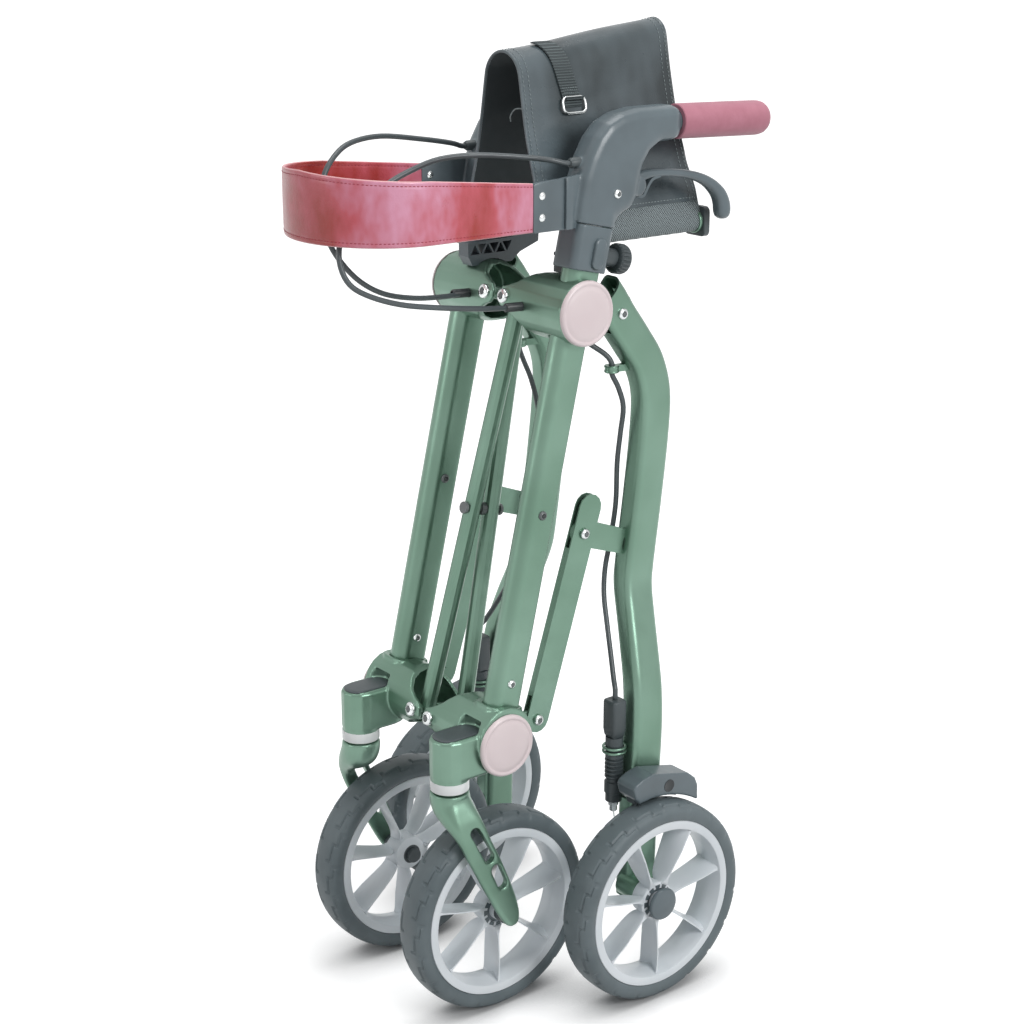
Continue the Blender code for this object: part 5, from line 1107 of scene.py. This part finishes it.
seat_piece = seat_cover()
mesh_data = bmesh.new()
for inset in (0.0030, 0.0095, -0.0030, -0.0095):
    route, normals = seat_route(inset)
    add_stitches(mesh_data, route, normals, 0.0040, 0.0028, 0.0008, 0.0005)
for index in (1, len(ROWS) - 2):
    route = [seat_place(index, k / 48, LEATHER / 2) for k in range(1, 48)]
    add_stitches(mesh_data, route, [seat_normal(index)] * len(route), 0.0038, 0.0027, 0.0008, 0.0005)
stitches = finished(mesh_data, "seat_stitching", SEAT_THREAD, None, 0)
mesh_data = bmesh.new()
for inset in (0.0004, -0.0004):
    route, normals = seat_route(inset, lift=0.0)
    add_tube(mesh_data, route, 0.0014, 10)
piping = finished(mesh_data, "seat_piping", SEAT, None, 0)
tie = smooth_route([at(0.0300, 0.1040, 0.8400), at(0.0230, 0.1030, 0.8440), at(0.0150, 0.1010, 0.8430),
                    at(0.0100, 0.1000, 0.8370), at(0.0105, 0.1000, 0.8320)])
tube("seat_tie_loop", tie, 0.0007, 8, SEAT_THREAD, "left_seat", 0)
for piece in (seat_piece, stitches, piping):
    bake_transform(piece)
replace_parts(seat_piece, "seat_left", "seat_right")

NET_Y = (0.1775, 0.2890)
NET_THICK = 0.0010
NET_WRAP = math.radians(190.0)    # ends where the rail doesn't drift into it as the seat opens
NET_ROWS = 36
NET_COLUMNS = 40
for side, sign in SIDES:
    out_way = Vector((math.cos(LEAN_SEAT), math.sin(LEAN_SEAT)))
    up_way = Vector((-math.sin(LEAN_SEAT), math.cos(LEAN_SEAT)))
    section = []
    for i in range(NET_ROWS + 1):
        angle = LEAN_SEAT - NET_WRAP * (1 - i / NET_ROWS)
        section.append((RAIL + Vector((math.cos(angle), math.sin(angle))) * (RAIL_REACH + 0.0002), angle))
    for i in range(1, 7):
        section.append((RAIL + out_way * (RAIL_REACH - 0.0003 * i) + up_way * (i * 0.0038), LEAN_SEAT))
    columns = [(k, NET_Y[0] + (NET_Y[1] - NET_Y[0]) * k / NET_COLUMNS) for k in range(NET_COLUMNS + 1)]
    loops = []
    for point, angle in section:
        way = Vector((math.cos(angle), math.sin(angle)))
        loop = []
        for k, y in columns:
            q = point + way * (NET_THICK / 2 + 0.00015 * math.sin(k * 1.3 + angle * 2))
            loop.append(at(sign * q.x, y, q.y))
        q = point - way * NET_THICK / 2
        loops.append(loop + [at(sign * q.x, y, q.y) for k, y in reversed(columns)])
    net = skinned(side + "seat_band", loops, NET, side + "seat", 40)
    outline = round_profile(0.0285, 0.0285, 0.0050, 4)
    loops = [[at(sign * RAIL.x + scale * u, y, RAIL.y + scale * w) for u, w in outline]
             for scale, y in ((0.94, 0.2890), (1.0, 0.2897), (1.0, 0.2952), (0.95, 0.2962))]
    skinned(side + "rail_end", loops, DARK, side + "slider")
    place = Matrix.Translation(at(sign * RAIL.x, 0, RAIL.y)) @ ALONG_Y
    profile = [(0.0082, 0.2862), (0.0112, 0.2862), (0.0116, 0.2868), (0.0116, 0.2900), (0.0082, 0.2900)]
    lathe(side + "rail_collar", profile, place, GREEN, side + "slider", 36)


# Pull strap

PULL_WIDTH = 0.0200
PULL_THICK = 0.0017
PULL_Y = (0.1390, 0.1560)
PULL_RUN = 0.0720
PULL_START = 0.0010
RIDGE_FRONT, RIDGE_DEPTH = 0.0990, 0.1800   # the cover's front edge and depth at the strap
STEP = HALF_LENGTH / SEAT_ROWS


def pull_place(run):
    """A place (x, z), its normal, and the y of the strap's middle at a run down from the ridge."""
    y = PULL_Y[0] + (PULL_Y[1] - PULL_Y[0]) * max(0.0, run) / PULL_RUN
    v = (y - RIDGE_FRONT) / RIDGE_DEPTH
    row = SEAT_ROWS - run / STEP
    point, normal = seat_point(row, v)
    return point, normal, y, creases(v, row / SEAT_ROWS)


def pull_strap():
    loops = []
    count = 130
    for i in range(count + 1):
        run = PULL_START + (PULL_RUN - PULL_START) * i / count
        point, normal, y, crease = pull_place(run)
        rib = 0.00022 * math.cos(2 * math.pi * run / 0.0026)
        out = LEATHER / 2 + crease + 0.0003
        loop = []
        for k in range(9):
            u = -PULL_WIDTH / 2 + PULL_WIDTH * k / 8
            fall = 0.0003 if k in (0, 8) else 0.0
            q = point + normal * (out + PULL_THICK + rib - fall)
            loop.append(at(q.x, y + u, q.y))
        for k in range(8, -1, -1):
            u = -PULL_WIDTH / 2 + PULL_WIDTH * k / 8
            q = point + normal * out
            loop.append(at(q.x, y + u, q.y))
        loops.append(loop)
    return skinned("pull_strap_look", loops, WEBBING, None, 50)


pull = pull_strap()
point, normal, ring_y, crease = pull_place(PULL_RUN - 0.0015)
down = Vector((normal.y, 0, -normal.x))
face = Vector((normal.x, 0, normal.y))
ring_centre = at(point.x, ring_y, point.y) + face * (LEATHER / 2 + crease + PULL_THICK + 0.0016)
wire = [ring_centre + Vector((0, u, 0)) + down * v
        for u, v in round_profile(PULL_WIDTH + 0.0058, 0.0142, 0.0052, 8)]
ring = tube("pull_ring", wire, 0.0013, 14, STEEL, None, 0, True)
bar = ring_centre - down * 0.0071
loops = []
for i in range(15):
    angle = math.pi * (0.5 + i / 14)
    away = face * math.sin(angle) + down * -math.cos(angle)
    loops.append([bar + away * r + Vector((0, u * PULL_WIDTH / 2, 0))
                  for r, u in ((0.0019, -1), (0.0019, 1), (0.0031, 1), (0.0031, -1))])
turn = skinned("pull_turn", loops, WEBBING, None, 40)
mesh_data = bmesh.new()
for run in (PULL_RUN - 0.0175, PULL_RUN - 0.0155, PULL_RUN - 0.0130):
    point, normal, y, crease = pull_place(run)
    lift = Vector((normal.x, 0, normal.y)) * (LEATHER / 2 + crease + PULL_THICK + 0.0006)
    route = [at(point.x, y + u, point.y) + lift for u in (-0.0085, 0.0, 0.0085)]
    add_stitches(mesh_data, route, [lift.normalized()] * 3, 0.0021, 0.0016, 0.0006, 0.0005)
pull_threads = finished(mesh_data, "pull_stitching", SEAT_THREAD, None, 0)
for piece in (pull, ring, turn, pull_threads):
    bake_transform(piece)
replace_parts(pull, "pull_strap")


# Backrest strap

STRAP_X = 0.0840
STRAP_REAR_Y = 0.0667
STRAP_BEND_Y = -0.0400
STRAP_NOSE_Y = -0.1170
STRAP_THICK = 0.0030
STRAP_LOW = 0.7450
STRAP_HIGHS = (0.7880, 0.7990, 0.8060)
STRAIGHT_STEPS = 26
ARC_STEPS = 48


def strap_stations():
    """The band's middle line from the left plate round the nose, each with its run and top."""
    places = []
    for i in range(STRAIGHT_STEPS):
        t = i / STRAIGHT_STEPS
        places.append((STRAP_X, STRAP_REAR_Y + (STRAP_BEND_Y - STRAP_REAR_Y) * t,
                       STRAP_HIGHS[0] + (STRAP_HIGHS[1] - STRAP_HIGHS[0]) * t))
    for i in range(2 * ARC_STEPS + 1):
        angle = math.pi / 2 * i / ARC_STEPS
        t = 1 - abs(1 - i / ARC_STEPS)
        places.append((STRAP_X * math.cos(angle),
                       STRAP_BEND_Y - (STRAP_BEND_Y - STRAP_NOSE_Y) * math.sin(angle),
                       STRAP_HIGHS[1] + (STRAP_HIGHS[2] - STRAP_HIGHS[1]) * t))
    places += [(-x, y, high) for x, y, high in places[:STRAIGHT_STEPS][::-1]]
    return places


STATIONS = strap_stations()


def strap_across(i):
    """The outward way at a station, on the level."""
    a = Vector(STATIONS[max(i - 1, 0)][:2])
    b = Vector(STATIONS[min(i + 1, len(STATIONS) - 1)][:2])
    way = (b - a).normalized()
    return Vector((-way.y, way.x, 0))


def strap_surface(i, share, face_sign, lift=0.0):
    """A place on the band: share runs from the lower to the upper edge, face_sign is 1 outside."""
    x, y, high = STATIONS[i]
    z = STRAP_LOW + (high - STRAP_LOW) * share
    pillow = 0.0003 * math.sin(math.pi * share) ** 0.5
    return at(x, y, z) + strap_across(i) * (face_sign * (STRAP_THICK / 2 - 0.0003 + pillow + lift))


def strap_band(name, first, last):
    mesh_data = bmesh.new()
    shares = (0.0, 0.012, 0.035, 0.055, 0.072, 0.09, 0.13, 0.3, 0.5, 0.7, 0.87, 0.91, 0.928, 0.945, 0.965,
              0.988, 1.0)
    dents = {0: -0.0009, 1: -0.0003, 3: -0.0001, 4: -0.00035, 5: -0.0001, 11: -0.0001, 12: -0.00035,
             13: -0.0001, 15: -0.0003, 16: -0.0009}
    loops = []
    for i in range(first, last + 1):
        loop = [strap_surface(i, s, 1, dents.get(k, 0.0)) for k, s in enumerate(shares)]
        loop += [strap_surface(i, s, -1, dents.get(k, 0.0)) for k, s in reversed(list(enumerate(shares)))]
        loops.append(loop)
    add_skin(mesh_data, loops)
    mesh_data.faces.ensure_lookup_table()
    count = 2 * len(shares)
    edges = {0, 15, 16, 17, count - 2, count - 1}
    for index, face in enumerate(mesh_data.faces):
        if index < count * (last - first) and index % count in edges:
            face.material_index = 1
    return finished(mesh_data, name, [ROSE, ROSE_EDGE], None, 40)


def strap_stitching(name, first, last):
    mesh_data = bmesh.new()
    for share in (0.072, 0.928):
        for face_sign in (1, -1):
            route = [strap_surface(i, share, face_sign, -0.0003) for i in range(first, last + 1)]
            normals = [strap_across(i) * face_sign for i in range(first, last + 1)]
            add_stitches(mesh_data, route, normals, 0.0036, 0.0025, 0.0007, 0.0004)
    return finished(mesh_data, name, ROSE_THREAD, None, 0)


SEAM = STRAIGHT_STEPS + ARC_STEPS // 2
LAST = len(STATIONS) - 1
STRAP_MIDDLE = 0.77
BEND = at(STRAP_X, STRAP_BEND_Y, STRAP_MIDDLE)
SPREAD = Vector((0, 0.016, 0))
MIRROR = Vector((-1, 1, 1))
for name, first, last, a, b, start, end, nodes in (
        ("strap_left_look", 0, SEAM, "strap_left_rear", "strap_left_front", BEND + SPREAD, BEND - SPREAD,
         ("strap_left_rear",)),
        ("strap_nose_look", SEAM, LAST - SEAM, "strap_left_front", "strap_right_front",
         at(0.024, STRAP_NOSE_Y, STRAP_MIDDLE), at(-0.024, STRAP_NOSE_Y, STRAP_MIDDLE),
         ("strap_left_front", "strap_right_front")),
        ("strap_right_look", LAST - SEAM, LAST, "strap_right_front", "strap_right_rear",
         (BEND - SPREAD) * MIRROR, (BEND + SPREAD) * MIRROR, ("strap_right_rear",))):
    band = strap_band(name, first, last)
    threads = strap_stitching(name + "_stitching", first, last)
    for piece in (band, threads):
        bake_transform(piece)
    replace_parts(band, *nodes)

for side, sign in SIDES:
    for face_name, face_sign in (("outer", 1), ("inner", -1)):
        for z in (0.7575, 0.7765):
            place = (Matrix.Translation(at(sign * (STRAP_X + face_sign * 0.0021), 0.0760, z))
                     @ facing(sign * face_sign))
            profile = [(0.0, -0.0002), (0.0036, -0.0002), (0.0035, 0.0008), (0.0026, 0.0016),
                       (0.0013, 0.0020), (0.0, 0.0021)]
            name = "%srivet_%s_%d" % (side, face_name, 1000 * z)
            lathe(name, profile, place, STEEL, side + "handle", 24)


# Floor, light and camera

def light_rays(tree):
    """1 for camera, glossy and transmission rays, 0 for the rest."""
    path = tree.nodes.new("ShaderNodeLightPath")
    value = path.outputs["Is Camera Ray"]
    for name in ("Is Glossy Ray", "Is Transmission Ray"):
        node = tree.nodes.new("ShaderNodeMath")
        node.operation = "MAXIMUM"
        tree.links.new(value, node.inputs[0])
        tree.links.new(path.outputs[name], node.inputs[1])
        value = node.outputs["Value"]
    return value


def scaled(tree, value, low, high, start=0.0, end=1.0, kind="LINEAR"):
    """A value that runs from start to end, taken to the range from low to high."""
    node = tree.nodes.new("ShaderNodeMapRange")
    node.interpolation_type = kind
    for name, limit in (("From Min", start), ("From Max", end), ("To Min", low), ("To Max", high)):
        node.inputs[name].default_value = limit
    tree.links.new(value, node.inputs["Value"])
    return node.outputs["Result"]


def product(tree, first, second):
    node = tree.nodes.new("ShaderNodeMath")
    node.operation = "MULTIPLY"
    tree.links.new(first, node.inputs[0])
    tree.links.new(second, node.inputs[1])
    return node.outputs["Value"]


floor_look = bpy.data.materials.new("floor")
floor_look.use_nodes = True
tree = floor_look.node_tree
surface = tree.nodes["Principled BSDF"]
for name, value in (("Base Color", (0.52, 0.525, 0.53, 1.0)), ("Roughness", 0.9), ("Specular IOR Level", 0.1),
                    ("Emission Color", (1.0, 1.0, 1.0, 1.0))):
    surface.inputs[name].default_value = value
spread = tree.nodes.new("ShaderNodeVectorMath")
spread.operation = "LENGTH"
tree.links.new(tree.nodes.new("ShaderNodeTexCoord").outputs["Object"], spread.inputs[0])
fade = scaled(tree, spread.outputs["Value"], 0.78, 1.0, 0.30, 0.95, "SMOOTHSTEP")
# The floor's glow is lower near the object and dimmed further by ambient occlusion close under it: a painted
# contact shadow.
shade = tree.nodes.new("ShaderNodeAmbientOcclusion")
shade.samples = 12
shade.inputs["Distance"].default_value = 0.075
painted_contact_shade = scaled(tree, shade.outputs["AO"], 0.0, 1.0, 0.42, 0.94)
glow = product(tree, product(tree, fade, painted_contact_shade), light_rays(tree))
tree.links.new(glow, surface.inputs["Emission Strength"])
bpy.ops.mesh.primitive_plane_add(size=60.0, location=(0, 0, 0))
floor = bpy.context.object
floor.name = "studio_floor"
floor.data.materials.append(floor_look)

world = bpy.data.worlds.new("studio")
bpy.context.scene.world = world
world.use_nodes = True
background = world.node_tree.nodes["Background"]
background.inputs["Color"].default_value = (1.0, 1.0, 1.0, 1.0)
world.node_tree.links.new(scaled(world.node_tree, light_rays(world.node_tree), 0.38, 1.0),
                          background.inputs["Strength"])

AIM = Vector((0.0, 0.0, 0.45))
for name, place, size, power in (("key", (2.5, 0.2, 1.9), 1.2, 42.0), ("top", (0.0, 0.2, 3.0), 1.6, 26.0),
                                 ("front", (-0.7, -2.4, 1.3), 1.0, 9.0)):
    lamp = bpy.data.lights.new(name, "AREA")
    lamp.shape = "DISK"
    lamp.size = size
    lamp.energy = power
    holder = bpy.data.objects.new(name, lamp)
    bpy.context.collection.objects.link(holder)
    holder.location = place
    holder.rotation_euler = (AIM - Vector(place)).to_track_quat("-Z", "Y").to_euler()

camera = bpy.data.cameras.new("camera")
camera.sensor_width = 36.0
camera.lens = 71.3
camera_holder = bpy.data.objects.new("camera", camera)
bpy.context.collection.objects.link(camera_holder)
azimuth, elevation = math.radians(52.43), math.radians(17.32)
camera_holder.location = (1.468, -1.13395, 1.039)
camera_holder.rotation_euler = (math.pi / 2 - elevation, 0.0, azimuth)
bpy.context.scene.camera = camera_holder
bpy.context.scene.view_settings.view_transform = "Standard"
